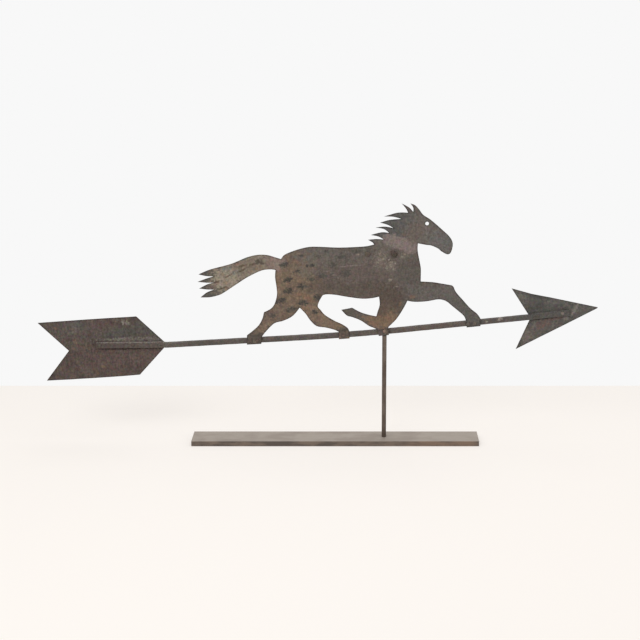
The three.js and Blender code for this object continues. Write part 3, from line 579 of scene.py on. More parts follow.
HORSE_IRON = WeatheredIron(
    "horse_iron", dark=(88, 80, 75), light=(100, 92, 87), bloom=(110, 93, 79), bloom_share=0.3, streak=0.08,
    mottle=0.16, drift=0.2, rim=0.42,
    layers=(
        # back and loin, barrel, belly, chest
        layer((101, 96, 91), 0.8, 1.2, (-30, 350, 90, 18, 2)),
        layer((103, 93, 87), 0.7, 1.1, (25, 318, 64, 22), grain=7),
        layer((89, 79, 72), 0.75, 1.1, (8, 290, 84, 12), (80, 288, 30, 12)),
        layer((91, 86, 81), 0.8, 1, (130, 308, 24, 42)),
        layer((101, 97, 93), 0.85, 0.8, (186, 276, 52, 20, -10)),
        layer((92, 90, 86), 0.85, 0.8, (226, 248, 20, 30, 25)),
        layer((93, 88, 82), 0.8, 0.9, (36, 243, 40, 10, -38)),
        # rusty quarters and hind legs
        layer((120, 101, 84), 0.9, 0.9, (-80, 298, 44, 48), (-55, 262, 50, 26, 0, 0.8), grain=9,
            break_up=0.5),
        layer((127, 109, 93), 0.7, 1, (-100, 316, 10, 22), (-97, 290, 10, 20), (-106, 262, 12, 14), grain=9),
        layer((100, 89, 80), 0.6, 1, (-62, 292, 14, 10), (-30, 300, 14, 12), grain=6),
        layer((117, 101, 89), 0.95, 0.7, (-112, 228, 44, 22, 48), grain=9, break_up=0.35),
        layer((123, 105, 89), 0.95, 0.8, (-14, 228, 58, 16, -36), grain=9, break_up=0.35),
        layer((97, 84, 74), 0.7, 0.8, (-78, 300, 40, 42, 0, 0.9), (-66, 262, 46, 24), (-112, 230, 40, 16, 48),
            grain=11, break_up=1),
        layer((132, 114, 97), 0.5, 0.9, (-84, 296, 36, 44), (-44, 258, 34, 20, -20, 0.8),
            (-120, 224, 30, 8, 48), grain=7, break_up=1),
        layer((108, 101, 94), 0.6, 1, (-46, 324, 22, 12), (-30, 338, 26, 10), grain=6),
        # upper part of the folded leg, and its knee
        layer((86, 75, 68), 0.9, 0.8, (98, 274, 20, 22)),
        layer((96, 82, 71), 0.85, 0.8, (88, 250, 26, 14)),
        layer((124, 102, 84), 0.9, 0.8, (76, 230, 28, 11, -14), (99, 234, 13, 12), grain=6),
        # hooves
        layer((84, 77, 72), 0.85, 0.5, (-140, 196, 19, 14), (17, 210, 16, 9, 0, 0.6)),
        layer((88, 86, 82), 0.85, 0.6, (242, 228, 20, 14)),
        # painted shade on the hooves' near faces where the middle hoof laps the bar's top edge and along the
        # rear hoof's edge, with a dark band round the front hoof's rivets
        layer((70, 65, 60), 0.6, 0.9, (237, 223.5, 10, 4.4, 6), (-134, 199, 6, 7), (-118, 214, 5, 12, -38),
            (17, 214, 12, 2, 3), grain=3, faces=Faces.NEAR),
        layer((116, 104, 94), 0.6, 0.9, (-142.6, 192.8, 3.4, 3), grain=3),
        # tail: mauve root, tan middle, pale fan, paler patches along both edges and dark tips
        layer((132, 121, 108), 0.95, 0.7, (-148, 330, 34, 22, 20), grain=6),
        layer((146, 135, 120), 0.95, 0.8, (-194, 306, 34, 24, 12), grain=5, break_up=0.35),
        layer((138, 129, 116), 0.8, 0.9, (-133, 350, 12, 5, 8), (-187, 333, 14, 6, 20),
            (-152, 315, 14, 6, 25), grain=5),
        layer((130, 115, 108), 0.95, 0.45, (-104, 338, 18, 16, 10), break_up=0.15),
        layer((86, 83, 79), 0.95, 0.8, (-228, 316, 15, 5, 12), (-226, 305, 14, 4.5), (-224, 294, 14, 5, 8),
            (-216, 283, 20, 6, 18)),
        layer((110, 97, 85), 0.4, 0.8, (-172, 322, 56, 20, 24), grain=4.5, break_up=1),
        layer((158, 149, 134), 0.5, 0.9, (-194, 306, 24, 18, 12), grain=3.5, break_up=1),
        layer((114, 117, 112), 0.7, 1, (-189, 327, 8, 4, 20), (-176, 320, 7, 3, 24), (-158, 344, 6, 2.4, 24)),
        layer((104, 84, 76), 0.7, 1, (-213, 294, 6, 3), (-209, 300, 5, 3)),
        layer((82, 68, 57), 0.8, 0.9, (-146, 333, 7, 2.2, 20), (-163, 331, 8, 1.9, 16),
            (-163, 323.2, 10, 1.8, 24), (-186, 314, 7, 1.5, 30), (-206, 303, 6, 1.8, 10),
            (-198, 291, 8, 1.6, 20), grain=3),
        layer((68, 62, 57), 0.85, 0.9, (-134, 338.6, 5, 4, 10), (-128, 336.4, 4, 2.4), grain=3),
        # neck, mane and head
        layer((89, 89, 86), 0.95, 0.7, (88, 396, 40, 30, 32), (118, 414, 30, 16, 10, 0.8)),
        layer((106, 98, 91), 0.7, 1, (84, 366, 20, 12)),
        layer((127, 115, 111), 0.9, 0.5, (112, 373, 30, 11, -14), (133, 365, 15, 11),
            (99, 380, 12, 9, 0, 0.6), grain=6, break_up=0.12),
        layer((104, 98, 93), 0.9, 0.8, (160, 393, 34, 27, -30)),
        layer((103, 101, 99), 0.9, 0.8, (186, 370, 26, 18, -45)),
        layer((107, 95, 86), 0.5, 1.2, (147, 396, 8, 12), (138, 385, 10, 8)),
        # dapples
        layer((75, 73, 69), 0.8, 1, *FAINT_DAPPLES, grain=3),
        layer((77, 74, 69), 0.78, 0.8, *DAPPLE_GROUNDS, grain=3),
        layer((64, 62, 59), 0.8, 0.7, *DAPPLES, grain=3, break_up=0.2),
        # wear down to pale metal, scratches and a drip under the eye
        layer((120, 111, 102), 0.65, 0.9, (82, 343, 13, 13), (99, 331, 10, 10), (121, 350, 8, 5), grain=3,
            break_up=0.6, faces=Faces.NEAR),
        layer((148, 139, 127), 0.6, 0.6, (80.3, 341.7, 3.4, 2.4), (99.6, 332, 2.6, 2.4),
            (86.7, 344.4, 2.4, 1.8), (78.8, 353.4, 1.8, 2.4), (99, 338, 3, 1.8), (92, 327, 2.4, 1.8),
            (119, 348, 2.2, 1.8), (123.4, 352.5, 2.2, 1.4), (97.5, 306, 3.6, 1.8), (110, 294, 2.6, 1.4),
            (95, 343, 1.8, 1.4), (103, 325, 1.8, 1.6), (74.5, 337, 2.4, 1.1), (41, 352, 2.4, 1.4),
            (70, 331, 2, 1.1), (88, 335, 1.4, 2), (106, 336, 1.3, 1.3), outline=Outline.RAGGED, grain=2.4,
            break_up=0.4, faces=Faces.NEAR),
        layer((134, 124, 116), 0.6, 0.8, (29, 331.6, 26, 0.8, 4), (-15.1, 321.9, 4, 1),
            (-1, 314.6, 4, 1.6, 0, 0.9), (-6.3, 319.1, 2, 1.1, 0, 0.9), (14.8, 329.6, 4, 0.9),
            (6, 309.2, 1.4, 1.9, 0, 0.9), (-59.5, 353.9, 7, 0.8, 11), outline=Outline.CRISP, grain=3,
            break_up=0.4, faces=Faces.NEAR),
        layer((128, 122, 114), 0.5, 0.9, (160.4, 394, 1.3, 9, 4), faces=Faces.NEAR),
        # orange rust
        layer((128, 100, 80), 0.5, 0.6, (-196, 315, 3, 4.4), (-192, 301, 3.4, 4.6), (-171, 334, 4.4, 2.6, 24),
            (-130, 330, 3.4, 3), (-137, 326, 3, 2), (-146, 322, 2.4, 2), (-190, 289, 3, 4.4),
            (-42, 269, 6, 5), (-50, 275, 7, 5), (-51, 254, 6, 3), (-66, 243, 8, 4, 30), (-99, 302, 3, 7),
            (-61, 280, 8, 3), (137, 275, 6, 3), (116, 262, 2.4, 4, -20), (66, 228, 7, 3, -30), grain=3,
            break_up=0.4),
        layer((66, 56, 50), 0.6, 0.5, (103.7, 352.4, 7.2, 7.2), faces=Faces.NEAR),
    ),
)

TAIL_IRON = WeatheredIron(
    "tail_iron", dark=(78, 69, 65), light=(89, 79, 74), bloom=(102, 84, 73), bloom_share=0.4, patch=18.0,
    streak=0.14, mottle=0.16, speckle=0.14, drift=0.4, rim=0.3,
    layers=(
        layer((92, 86, 81), 0.7, 1.2, (-470, 214, 40, 18)),
        layer((82, 82, 78), 0.8, 1, (-385, 205, 36, 10, 4), (-335, 212, 26, 14, -20), (-455, 222, 12, 10),
            grain=5, break_up=0.35),
        layer((94, 79, 75), 0.6, 1.2, (-400, 155, 70, 22, 4), (-420, 220, 26, 12), grain=6, break_up=0.4),
        layer((106, 99, 92), 0.55, 1, (-466, 212, 5, 8), (-390, 229, 10, 3, 4), grain=3),
        layer((126, 120, 112), 0.7, 0.9, (-374, 224.5, 6, 3.6), outline=Outline.RAGGED, grain=3),
        # painted light: a pale band and thin pale lines on the plate's near face just above the flat, over
        # the crevice between flat and plate that lies in shade
        layer((114, 108, 102), 0.75, 0.9, (-378, 192.6, 44, 3.4, 1), (-325, 193.4, 18, 3.4, -2, 1), grain=3,
            faces=Faces.NEAR),
        layer((124, 118, 111), 0.5, 1, (-384, 195.4, 26, 1.2, 3), (-398, 192.4, 20, 1.1),
            outline=Outline.RAGGED, grain=3, faces=Faces.NEAR),
        # painted shadow: dark lines on the plate's near face just under the flat
        layer((52, 45, 40), 0.85, 0.9, (-380, 175.4, 40, 1.6, 0.7), grain=3, break_up=0.2, faces=Faces.NEAR),
        layer((60, 52, 47), 0.7, 0.9, (-330, 176.2, 24, 1, 0.7), grain=3, faces=Faces.NEAR),
        layer((116, 94, 80), 0.6, 0.6, (-428, 129.3, 3, 2.6), (-418, 142, 3.4, 3.4), (-466, 187.6, 3.4, 4),
            (-470, 176, 3, 3), (-500, 214, 3, 3), grain=3),
    ),
)

HEAD_IRON = WeatheredIron(
    "head_iron", dark=(76, 75, 72), light=(86, 84, 81), bloom=(102, 92, 82), bloom_share=0.35, patch=16.0,
    rim=0.3,
    layers=(
        layer((96, 90, 86), 0.85, 1, (364, 216, 46, 20, 30), grain=5, break_up=0.3),
        layer((106, 84, 80), 0.65, 1, (372, 222, 16, 6, 20), (398, 236, 16, 5, 20), grain=4),
        layer((110, 107, 101), 0.65, 1, (333, 271, 13, 7, -50), (355, 219, 3.4, 9), (390, 219, 3, 6),
            (386, 262, 9, 4), grain=3),
        # painted shadow: a dark line on the plate's near face just under the bar
        layer((54, 49, 45), 0.8, 0.9, (372, 232, 28, 1.5, 5.9), grain=3, break_up=0.2, faces=Faces.NEAR),
        layer((120, 110, 104), 0.7, 1, (341, 199, 10, 9, 30)),
        layer((102, 99, 95), 0.6, 1, (440, 248, 24, 14), (404, 264, 18, 7, -10), grain=5),
        layer((126, 121, 115), 0.75, 0.9, (428, 250.5, 2.8, 10, -25), (411, 232, 4, 3, 0, 1), grain=3,
            faces=Faces.NEAR),
    ),
)

BAR_IRON = WeatheredIron(
    "bar_iron", dark=(85, 79, 75), light=(97, 90, 86), bloom=(103, 89, 80), patch=14.0,
    layers=(
        layer((91, 82, 77), 0.8, 0.3, (-365, 184, 70, 12, 1), grain=5),
        layer((78, 68, 64), 0.6, 0.9, (-404, 184, 36, 8, 1), grain=5),
        layer((106, 99, 92), 0.7, 0.9, (-306, 184, 10, 7, 2)),
        # painted highlight along the top face and top edge of the flat at the tail
        layer((128, 121, 115), 0.8, 0.8, (-364, 189.4, 66, 1.6, 0.7), grain=3),
        layer((84, 79, 75), 0.5, 0.6, (-210, 190, 60, 12, 3), (112, 214, 16, 8, 0, 0.8), grain=5),
        # painted shadow on the bar just past the collar's front end
        layer((58, 49, 42), 0.7, 0.9, (97, 213.5, 3, 6), grain=3),
        layer((83, 82, 79), 0.85, 0.3, (375, 239, 62, 16, 6), grain=5),
        layer((101, 90, 84), 0.6, 0.9, (165, 220, 70, 12, 6)),
        layer((152, 146, 138), 0.7, 0.9, (270.5, 230, 3, 2), (293.5, 233.4, 3.6, 2.4), outline=Outline.RAGGED,
            grain=3),
    ),
)

RIVET_IRON = WeatheredIron(
    "rivet_iron", dark=(80, 71, 66), light=(96, 85, 78), bloom=(108, 90, 79), patch=5.0,
    layers=(
        layer((128, 116, 112), 0.85, 0.6, (404.5, 245.2, 5, 5)),
        layer((122, 105, 94), 0.7, 0.6, (88.5, 211, 6, 6)),
        # painted highlight on the upper left of the keeper's head
        layer((146, 124, 108), 0.7, 0.6, (87.6, 213.8, 3.4, 3)),
        layer((105, 97, 92), 0.75, 0.6, (236.5, 224.6, 4.5, 4.5), (248, 225.8, 4.5, 4.5)),
        layer((88, 84, 79), 0.8, 0.6, (361, 241, 6, 6), (-421.5, 183, 6, 6), (-314, 187, 6, 6)),
        layer((78, 68, 62), 0.8, 0.3, (104, 352, 8, 8)),
        layer((92, 83, 76), 0.8, 0.3, (57, 352, 8, 8)),
    ),
)


# Shapes


@dataclass(frozen=True)
class BarLine:
    """The centre line of the arrow's square bar: straight arms joined by two gentle bends.

    Rises are in degrees, and a bend has its middle's distance from the spindle and half its length.
    """

    size: float = 9.0
    spindle: float = 88.5
    height: float = 209.825
    flat_rise: float = 0.6
    tail_rise: float = 3.3
    head_rise: float = 5.9
    tail_bend: Point = (-392.0, 10.0)
    middle_bend: Point = (-60.0, 95.0)

    @staticmethod
    def _bend(reach: float, corner: float, half: float, change: float) -> float:
        """Gives the rise that a bend adds.

        Args:
            reach: The distance from the spindle.
            corner: The distance of the bend's middle.
            half: Half the bend's length.
            change: How much the slope changes in it.

        Returns:
            The rise at that distance.
        """
        into = reach - corner + half
        if into <= 0:
            return 0.0
        return change * (reach - corner) if into >= 2 * half else change * into * into / (4 * half)

    def _unset(self, reach: float) -> float:
        """Gives the line's height before it is set to pass through the spindle.

        Args:
            reach: The distance from the spindle.

        Returns:
            The height there.
        """
        rises = (self.flat_rise, self.tail_rise, self.head_rise)
        flat, tail, head = (math.tan(math.radians(rise)) for rise in rises)
        behind = flat * reach + self._bend(reach, *self.tail_bend, tail - flat)
        return behind + self._bend(reach, *self.middle_bend, head - tail)

    def rise(self, reach: float) -> float:
        """Gives the line's height over the spindle's crossing, at a reach from the spindle."""
        return self._unset(reach) - self._unset(0.0)

    def at(self, reach: float) -> Point:
        """Gives the place of the line in X and Z, at a reach from the spindle."""
        return self.spindle + reach, self.height + self.rise(reach)


def through(points: Sequence[Point], steps: int = 8) -> list[Point]:
    """Runs a smooth curve through points.

    Args:
        points: The places that it passes, its start among them.
        steps: How many straight steps it takes from one to the next.

    Returns:
        The curve's places after its start.
    """
    given = np.array(points)
    last = len(given) - 1
    curve: list[Point] = []
    for i in range(last):
        before, start, end, after = given[max(i - 1, 0)], given[i], given[i + 1], given[min(i + 2, last)]
        into, out = (end - before) / 2, (after - start) / 2
        for step in range(1, steps + 1):
            t = step / steps
            spot = (
                (2 * start - 2 * end + into + out) * t**3
                + (3 * end - 3 * start - 2 * into - out) * t**2
                + into * t
                + start
            )
            curve.append((float(spot[0]), float(spot[1])))
    return curve


def evened(outline: Sequence[Point], longest: float) -> np.ndarray:
    """Divides the long sides of a closed outline.

    Args:
        outline: Its corners.
        longest: The longest side that may stay.

    Returns:
        The outline as rows of X and Z.
    """
    corners = np.array(outline)
    rows: list[np.ndarray] = []
    for start, end in zip(corners, np.roll(corners, -1, axis=0)):
        length = float(np.linalg.norm(end - start))
        if length < 1e-6:
            continue
        parts = max(1, math.ceil(length / longest))
        rows.extend(start + (end - start) * k / parts for k in range(parts))
    return np.array(rows)


def turned_left(outline: np.ndarray) -> np.ndarray:
    """Turns an outline the right way round.

    Args:
        outline: Rows of X and Z.

    Returns:
        The outline with its inside on its left.
    """
    following = np.roll(outline, -1, axis=0)
    area = np.sum(outline[:, 0] * following[:, 1] - following[:, 0] * outline[:, 1])
    return outline if area > 0 else outline[::-1].copy()


def inside(points: np.ndarray, loops: Sequence[np.ndarray]) -> np.ndarray:
    """Says which points lie in the outer loop and outside its holes.

    Args:
        points: Rows of X and Z.
        loops: The outer loop and the holes.

    Returns:
        True for each point in the metal.
    """
    hits = np.zeros(len(points), dtype=bool)
    x, z = points[:, 0], points[:, 1]
    for loop in loops:
        for (x0, z0), (x1, z1) in zip(loop, np.roll(loop, -1, axis=0)):
            if z0 == z1:
                continue
            crosses = (z0 > z) != (z1 > z)
            hits ^= crosses & (x < (x1 - x0) * (z - z0) / (z1 - z0) + x0)
    return hits


def clear_of(points: np.ndarray, loops: Sequence[np.ndarray]) -> np.ndarray:
    """Gives each point's distance from the nearest corner of the loops."""
    corners = np.concatenate(loops)
    return np.array([np.sqrt(((corners - p) ** 2).sum(axis=1).min()) for p in points])


def drawn_in(loop: np.ndarray, edge: float) -> np.ndarray:
    """Moves a loop inwards for a rounded edge, less where the metal is narrow.

    Args:
        loop: The loop, its metal on its left.
        edge: How far it moves where there is room.

    Returns:
        The loop moved in, corner by corner.
    """
    spike, most_reach = 0.2, 2.0
    open_room, least_room, room_share = 50.0, 1e-4, 0.3
    least = 1e-9
    before, after = np.roll(loop, 1, axis=0), np.roll(loop, -1, axis=0)
    into, out = loop - before, after - loop
    into /= np.linalg.norm(into, axis=1)[:, None]
    out /= np.linalg.norm(out, axis=1)[:, None]
    way = sum(np.stack([-side[:, 1], side[:, 0]], axis=1) for side in (into, out))
    size = np.linalg.norm(way, axis=1)
    way[size < spike] = out[size < spike] - into[size < spike]
    way /= np.linalg.norm(way, axis=1)[:, None]
    reach = np.minimum(1.0 / np.maximum(size / 2, 2 * spike), most_reach)
    room = np.full(len(loop), open_room)
    spans = after - loop
    for i, (corner, aim) in enumerate(zip(loop, way)):
        across = spans[:, 0] * aim[1] - spans[:, 1] * aim[0]
        across = np.where(np.abs(across) < least, least, across)
        offset = corner - loop
        share = (offset[:, 0] * aim[1] - offset[:, 1] * aim[0]) / across
        far = (offset[:, 0] * spans[:, 1] - offset[:, 1] * spans[:, 0]) / across
        hit = (share >= 0) & (share <= 1) & (far > least_room)
        if hit.any():
            room[i] = far[hit].min()
    return loop + way * np.minimum(edge * reach, room_share * room)[:, None]


@dataclass(frozen=True)
class SheetPiece:
    """A flat piece of sheet iron with broken edges, which may bow a little out of its plane.

    Pitch is the distance between its corners, and the shares of it are the longest side of its outline and
    how clear of it the corners inside stay. An edge past the crease's angle, in degrees, stays sharp.
    """

    front: float
    back: float
    pitch: float
    edge: float = 0.3
    crease: float = 28.0
    side_share: float = 0.8
    clear_share: float = 0.55

    def build(
        self, name: str, outline: Sequence[Point], holes: Sequence[Sequence[Point]],
        bow: Callable[[float, float], float],
    ) -> bpy.types.Object:
        """Makes the piece.

        Args:
            name: The piece's name.
            outline: Its outline in X and Z.
            holes: The outlines of its holes.
            bow: How far it stands out of its plane along Y, at a place in X and Z.

        Returns:
            The new object, in the scene.
        """
        longest = self.pitch * self.side_share
        loops = [turned_left(evened(outline, longest))]
        loops += [turned_left(evened(hole, longest))[::-1].copy() for hole in holes]
        inner = [drawn_in(loop, self.edge) for loop in loops]
        ends = (*loops[0].min(axis=0), *loops[0].max(axis=0))
        flat = np.concatenate([*inner, self._lattice(inner, *ends)])
        skin = len(flat)
        verts: list[Place] = []
        for y in (self.front, self.back):
            verts += [(x, y + bow(x, z), z) for x, z in flat]
        polygons = self._filled(flat, inner)
        polygons += [tuple(skin + v for v in face[::-1]) for face in polygons]
        start = 0
        for loop in loops:
            count, rim = len(loop), len(verts)
            for y in (self.front + self.edge, self.back - self.edge):
                verts += [(x, y + bow(x, z), z) for x, z in loop]
            rings = [start, rim, rim + count, skin + start]
            for first, second in zip(rings, rings[1:]):
                polygons += [(first + i, second + i, second + k, first + k) for i, k in around(count)]
            start += count
        piece = new_piece(name, verts, polygons, math.radians(self.crease))
        depths = clear_of(flat, loops)
        write(piece.data, "rim", np.concatenate([depths, depths, np.zeros(len(verts) - 2 * skin)]))
        return piece

    def _lattice(self, inner: Sequence[np.ndarray], *ends: float) -> np.ndarray:
        """Spreads points in staggered rows over the metal, clear of its edges.

        Args:
            inner: The loops round the metal.
            ends: The lowest X and Z and the highest X and Z of the piece.

        Returns:
            The points as rows of X and Z.
        """
        left, low, right, high = ends
        columns = np.arange(left, right, self.pitch)
        rows = np.arange(low, high, self.pitch * math.sqrt(3) / 2)
        points = np.array([(x + (k % 2) * self.pitch / 2, z) for k, z in enumerate(rows) for x in columns])
        points = points[inside(points, inner)]
        return points[clear_of(points, inner) > self.pitch * self.clear_share]

    @staticmethod
    def _filled(flat: np.ndarray, inner: Sequence[np.ndarray]) -> list[tuple[int, ...]]:
        """Joins the points of one face into triangles.

        Args:
            flat: The points, the loops' own first.
            inner: The loops round the metal.

        Returns:
            The triangles, turned left as the viewer sees them.
        """
        sides: list[tuple[int, int]] = []
        for loop in inner:
            start = len(sides)
            sides += [(start + i, start + k) for i, k in around(len(loop))]
        found = delaunay_2d_cdt([Vector(p) for p in flat], sides, [], 0, 1e-7)
        origin = {new: old[0] for new, old in enumerate(found[3]) if old}
        faces = [tuple(origin[v] for v in face) for face in found[2] if all(v in origin for v in face)]
        kept = inside(flat[np.array(faces)].mean(axis=1), inner)
        turned: list[tuple[int, ...]] = []
        for face in (face for face, stays in zip(faces, kept) if stays):
            a, b, c = (flat[i] for i in face[:3])
            left = (b[0] - a[0]) * (c[1] - a[1]) - (b[1] - a[1]) * (c[0] - a[0]) > 0
            turned.append(face if left else face[::-1])
        return turned


def around(count: int) -> list[tuple[int, int]]:
    """Pairs each of that many corners with the next one round."""
    return [(i, (i + 1) % count) for i in range(count)]


def in_scene(name: str, data: bpy.types.ID) -> bpy.types.Object:
    """Puts an object into the scene, at the origin.

    Args:
        name: The object's name.
        data: Its mesh, lamp or camera.

    Returns:
        The new object.
    """
    thing = bpy.data.objects.new(name, data)
    bpy.context.scene.collection.objects.link(thing)
    return thing


def new_piece(
    name: str, verts: Sequence[Place], faces: Sequence[Sequence[int]], sharp: float | None = None
) -> bpy.types.Object:
    """Puts a mesh into the scene.

    Args:
        name: The piece's name.
        verts: Its corners in millimetres.
        faces: Its faces, pointing out.
        sharp: The angle past which an edge stays sharp, or None for flat faces.

    Returns:
        The new object, at the origin.
    """
    mesh = bpy.data.meshes.new(name)
    mesh.from_pydata([(x * MM, y * MM, z * MM) for x, y, z in verts], [], [tuple(face) for face in faces])
    mesh.update()
    if sharp is not None:
        soften(mesh, sharp)
    return in_scene(name, mesh)


def soften(mesh: bpy.types.Mesh, sharp: float) -> None:
    """Shades a mesh smoothly, but for edges sharper than that angle."""
    mesh.shade_smooth()
    mesh.set_sharp_from_angle(angle=sharp)


def revolved(profile: Sequence[Point], sides: int, name: str, sharp: float = CREASE) -> bpy.types.Object:
    """Turns a profile about the upright axis.

    Args:
        profile: Radius and height from the lowest point on the axis to the highest.
        sides: How many sides the piece has.
        name: The piece's name.
        sharp: The angle past which an edge stays sharp, in radians.

    Returns:
        The new object, its axis through the origin.
    """
    verts: list[Place] = []
    rings: list[list[int]] = []
    for radius, height in profile:
        if radius == 0:
            rings.append([len(verts)] * sides)
            verts.append((0.0, 0.0, height))
            continue
        rings.append(list(range(len(verts), len(verts) + sides)))
        for k in range(sides):
            angle = 2 * math.pi * k / sides
            verts.append((radius * math.cos(angle), radius * math.sin(angle), height))
    faces: list[tuple[int, ...]] = []
    for lower, upper in zip(rings, rings[1:]):
        for i, k in around(sides):
            faces.append(tuple(dict.fromkeys((lower[i], lower[k], upper[k], upper[i]))))
    return new_piece(name, verts, faces, sharp)


def extruded(
    name: str, section: Sequence[Point], start: float, end: float, to_place: Callable[..., Place]
) -> bpy.types.Object:
    """Runs a closed section along a straight line.

    Args:
        name: The piece's name.
        section: The section's corners.
        start: Where the line starts.
        end: Where it ends.
        to_place: Turns a section's corner and a distance along the line into a place.

    Returns:
        The new object, its faces pointing out.
    """
    count = len(section)
    verts = [to_place(a, b, along) for along in (start, end) for a, b in section]
    faces: list[tuple[int, ...]] = [(i, k, count + k, count + i) for i, k in around(count)]
    faces += [tuple(range(count))[::-1], tuple(range(count, 2 * count))]
    return new_piece(name, verts, faces, CREASE)


def finish_edges(piece: bpy.types.Object, width: float) -> None:
    """Breaks a piece's sharp edges, and makes the result its own mesh.

    Args:
        piece: The piece.
        width: The width of the broken edge.
    """
    bevel = piece.modifiers.new("broken edges", "BEVEL")
    bevel.width = width * MM
    bevel.segments = 2
    bevel.limit_method = "ANGLE"
    bevel.angle_limit = math.radians(40)
    settle(piece)
    soften(piece.data, CREASE)


def settle(piece: bpy.types.Object) -> None:
    """Turns what a piece's modifiers make of it into its own plain mesh.

    Args:
        piece: The piece.
    """
    depsgraph = bpy.context.evaluated_depsgraph_get()
    made = bpy.data.meshes.new_from_object(piece.evaluated_get(depsgraph))
    piece.modifiers.clear()
    old = piece.data
    piece.data = made
    made.name = piece.name
    if isinstance(old, bpy.types.Mesh) and not old.users:
        bpy.data.meshes.remove(old)


class Recipe(Graph):
    """A Geometry Nodes tree with named inputs, which shapes a piece."""

    def __init__(self, name: str, inputs: dict[str, str]) -> None:
        """Starts a tree.

        Args:
            name: The tree's name.
            inputs: Each input's name and its kind, such as Float or Material.
        """
        tree = bpy.data.node_groups.new(name, "GeometryNodeTree")
        super().__init__(tree, "Geometry", "Shader", "Function")
        self.tree.is_modifier = True
        sockets = self.tree.interface
        for label, kind in {"Geometry": "Geometry", **inputs}.items():
            sockets.new_socket(label, in_out="INPUT", socket_type=f"NodeSocket{kind}")
        sockets.new_socket("Geometry", in_out="OUTPUT", socket_type="NodeSocketGeometry")
        self.given = self.tree.nodes.new("NodeGroupInput").outputs
        self.result = self.tree.nodes.new("NodeGroupOutput")

    def blend(self, share: Any, first: Any, second: Any) -> Socket:
        """Goes from the first value to the second by a share."""
        return self.out("Mix", {0: share, 2: first, 3: second})

    def pushed(self, geometry: Socket, distance: Socket) -> Socket:
        """Moves each corner of a mesh outwards by a distance."""
        offset = self.scaled(self.out("InputNormal"), distance)
        return self.out("SetPosition", {"Geometry": geometry, "Offset": offset})

    def close(self, geometry: Socket) -> None:
        """Realises the instances, sets the finish and ends the tree.

        Args:
            geometry: What the tree has made.
        """
        real = self.out("RealizeInstances", {0: geometry})
        dressed = self.out("SetMaterial", {"Geometry": real, "Material": self.given["Finish"]})
        self.tree.links.new(dressed, self.result.inputs[0])

    def apply(self, piece: bpy.types.Object, values: dict[str, Any]) -> None:
        """Runs the tree on an object and keeps what it makes as a plain mesh.

        Args:
            piece: The object that the tree shapes.
            values: What each named input takes.
        """
        modifier = piece.modifiers.new(self.tree.name, "NODES")
        modifier.node_group = self.tree
        for item in self.tree.interface.items_tree:
            if item.in_out == "INPUT" and item.name in values:
                modifier[item.identifier] = values[item.name]
        settle(piece)


def ride(piece: bpy.types.Object, body: str, slot: str, *nodes: str) -> None:
    """Puts a piece on its body in place of its nodes, and reports it.

    Args:
        piece: The piece.
        body: The body that it moves with.
        slot: The material slot's name; it is not used.
        nodes: The frame's nodes that it stands for.
    """
    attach(piece, body)
    if nodes:
        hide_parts(*nodes)
    LOG.info("%s rides on %s, %d faces", piece.name, body, len(piece.data.polygons))


# Sub-assemblies


@dataclass(frozen=True)
class Stand:
    """Flat base bar, round rod with its spindle, and the screw from below."""

    line: BarLine = BarLine()
    rod_radius: float = 3.96875
    spindle_radius: float = 2.4
    groove_radius: float = 1.65
    groove_half: float = 1.4
    groove_rise: float = 1.8
    rod_edge: float = 0.5
    point: float = 1.6
    sides: int = 64

    def build(self) -> None:
        """Makes the rod, and dresses the bar and the screw."""
        steel, rod_finish = GroundSteel().material(), RodSteel().material()
        for node, finish in (("base_bar", steel), ("base_screw", rod_finish)):
            dress(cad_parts[node], finish)
        rod = self._rod()
        dress(rod, rod_finish)
        ride(rod, "stand", "rod_steel", "stand_rod")

    def _rod(self) -> bpy.types.Object:
        """Turns the rod, its shoulder and its spindle in one piece.

        Returns:
            The rod.
        """
        foot, top = (corner.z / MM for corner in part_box("stand_rod"))
        pivot = self.line.height + self.groove_rise
        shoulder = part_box("pivot_collar")[0].z / MM - GAP
        radius, edge = self.rod_radius, self.rod_edge
        spindle, groove, half = self.spindle_radius, self.groove_radius, self.groove_half
        slope = spindle - groove
        profile = [
            (0, foot), (radius - edge, foot), (radius, foot + edge), (radius, shoulder - edge),
            (radius - edge, shoulder), (spindle, shoulder), (spindle, pivot - half - slope),
            (groove, pivot - half), (groove, pivot + half), (spindle, pivot + half + slope),
            (spindle, top - self.point), (spindle / 2, top), (0, top),
        ]
        rod = revolved(profile, self.sides, "rod")
        rod.data.transform(Matrix.Translation((self.line.spindle * MM, 0, 0)))
        return rod


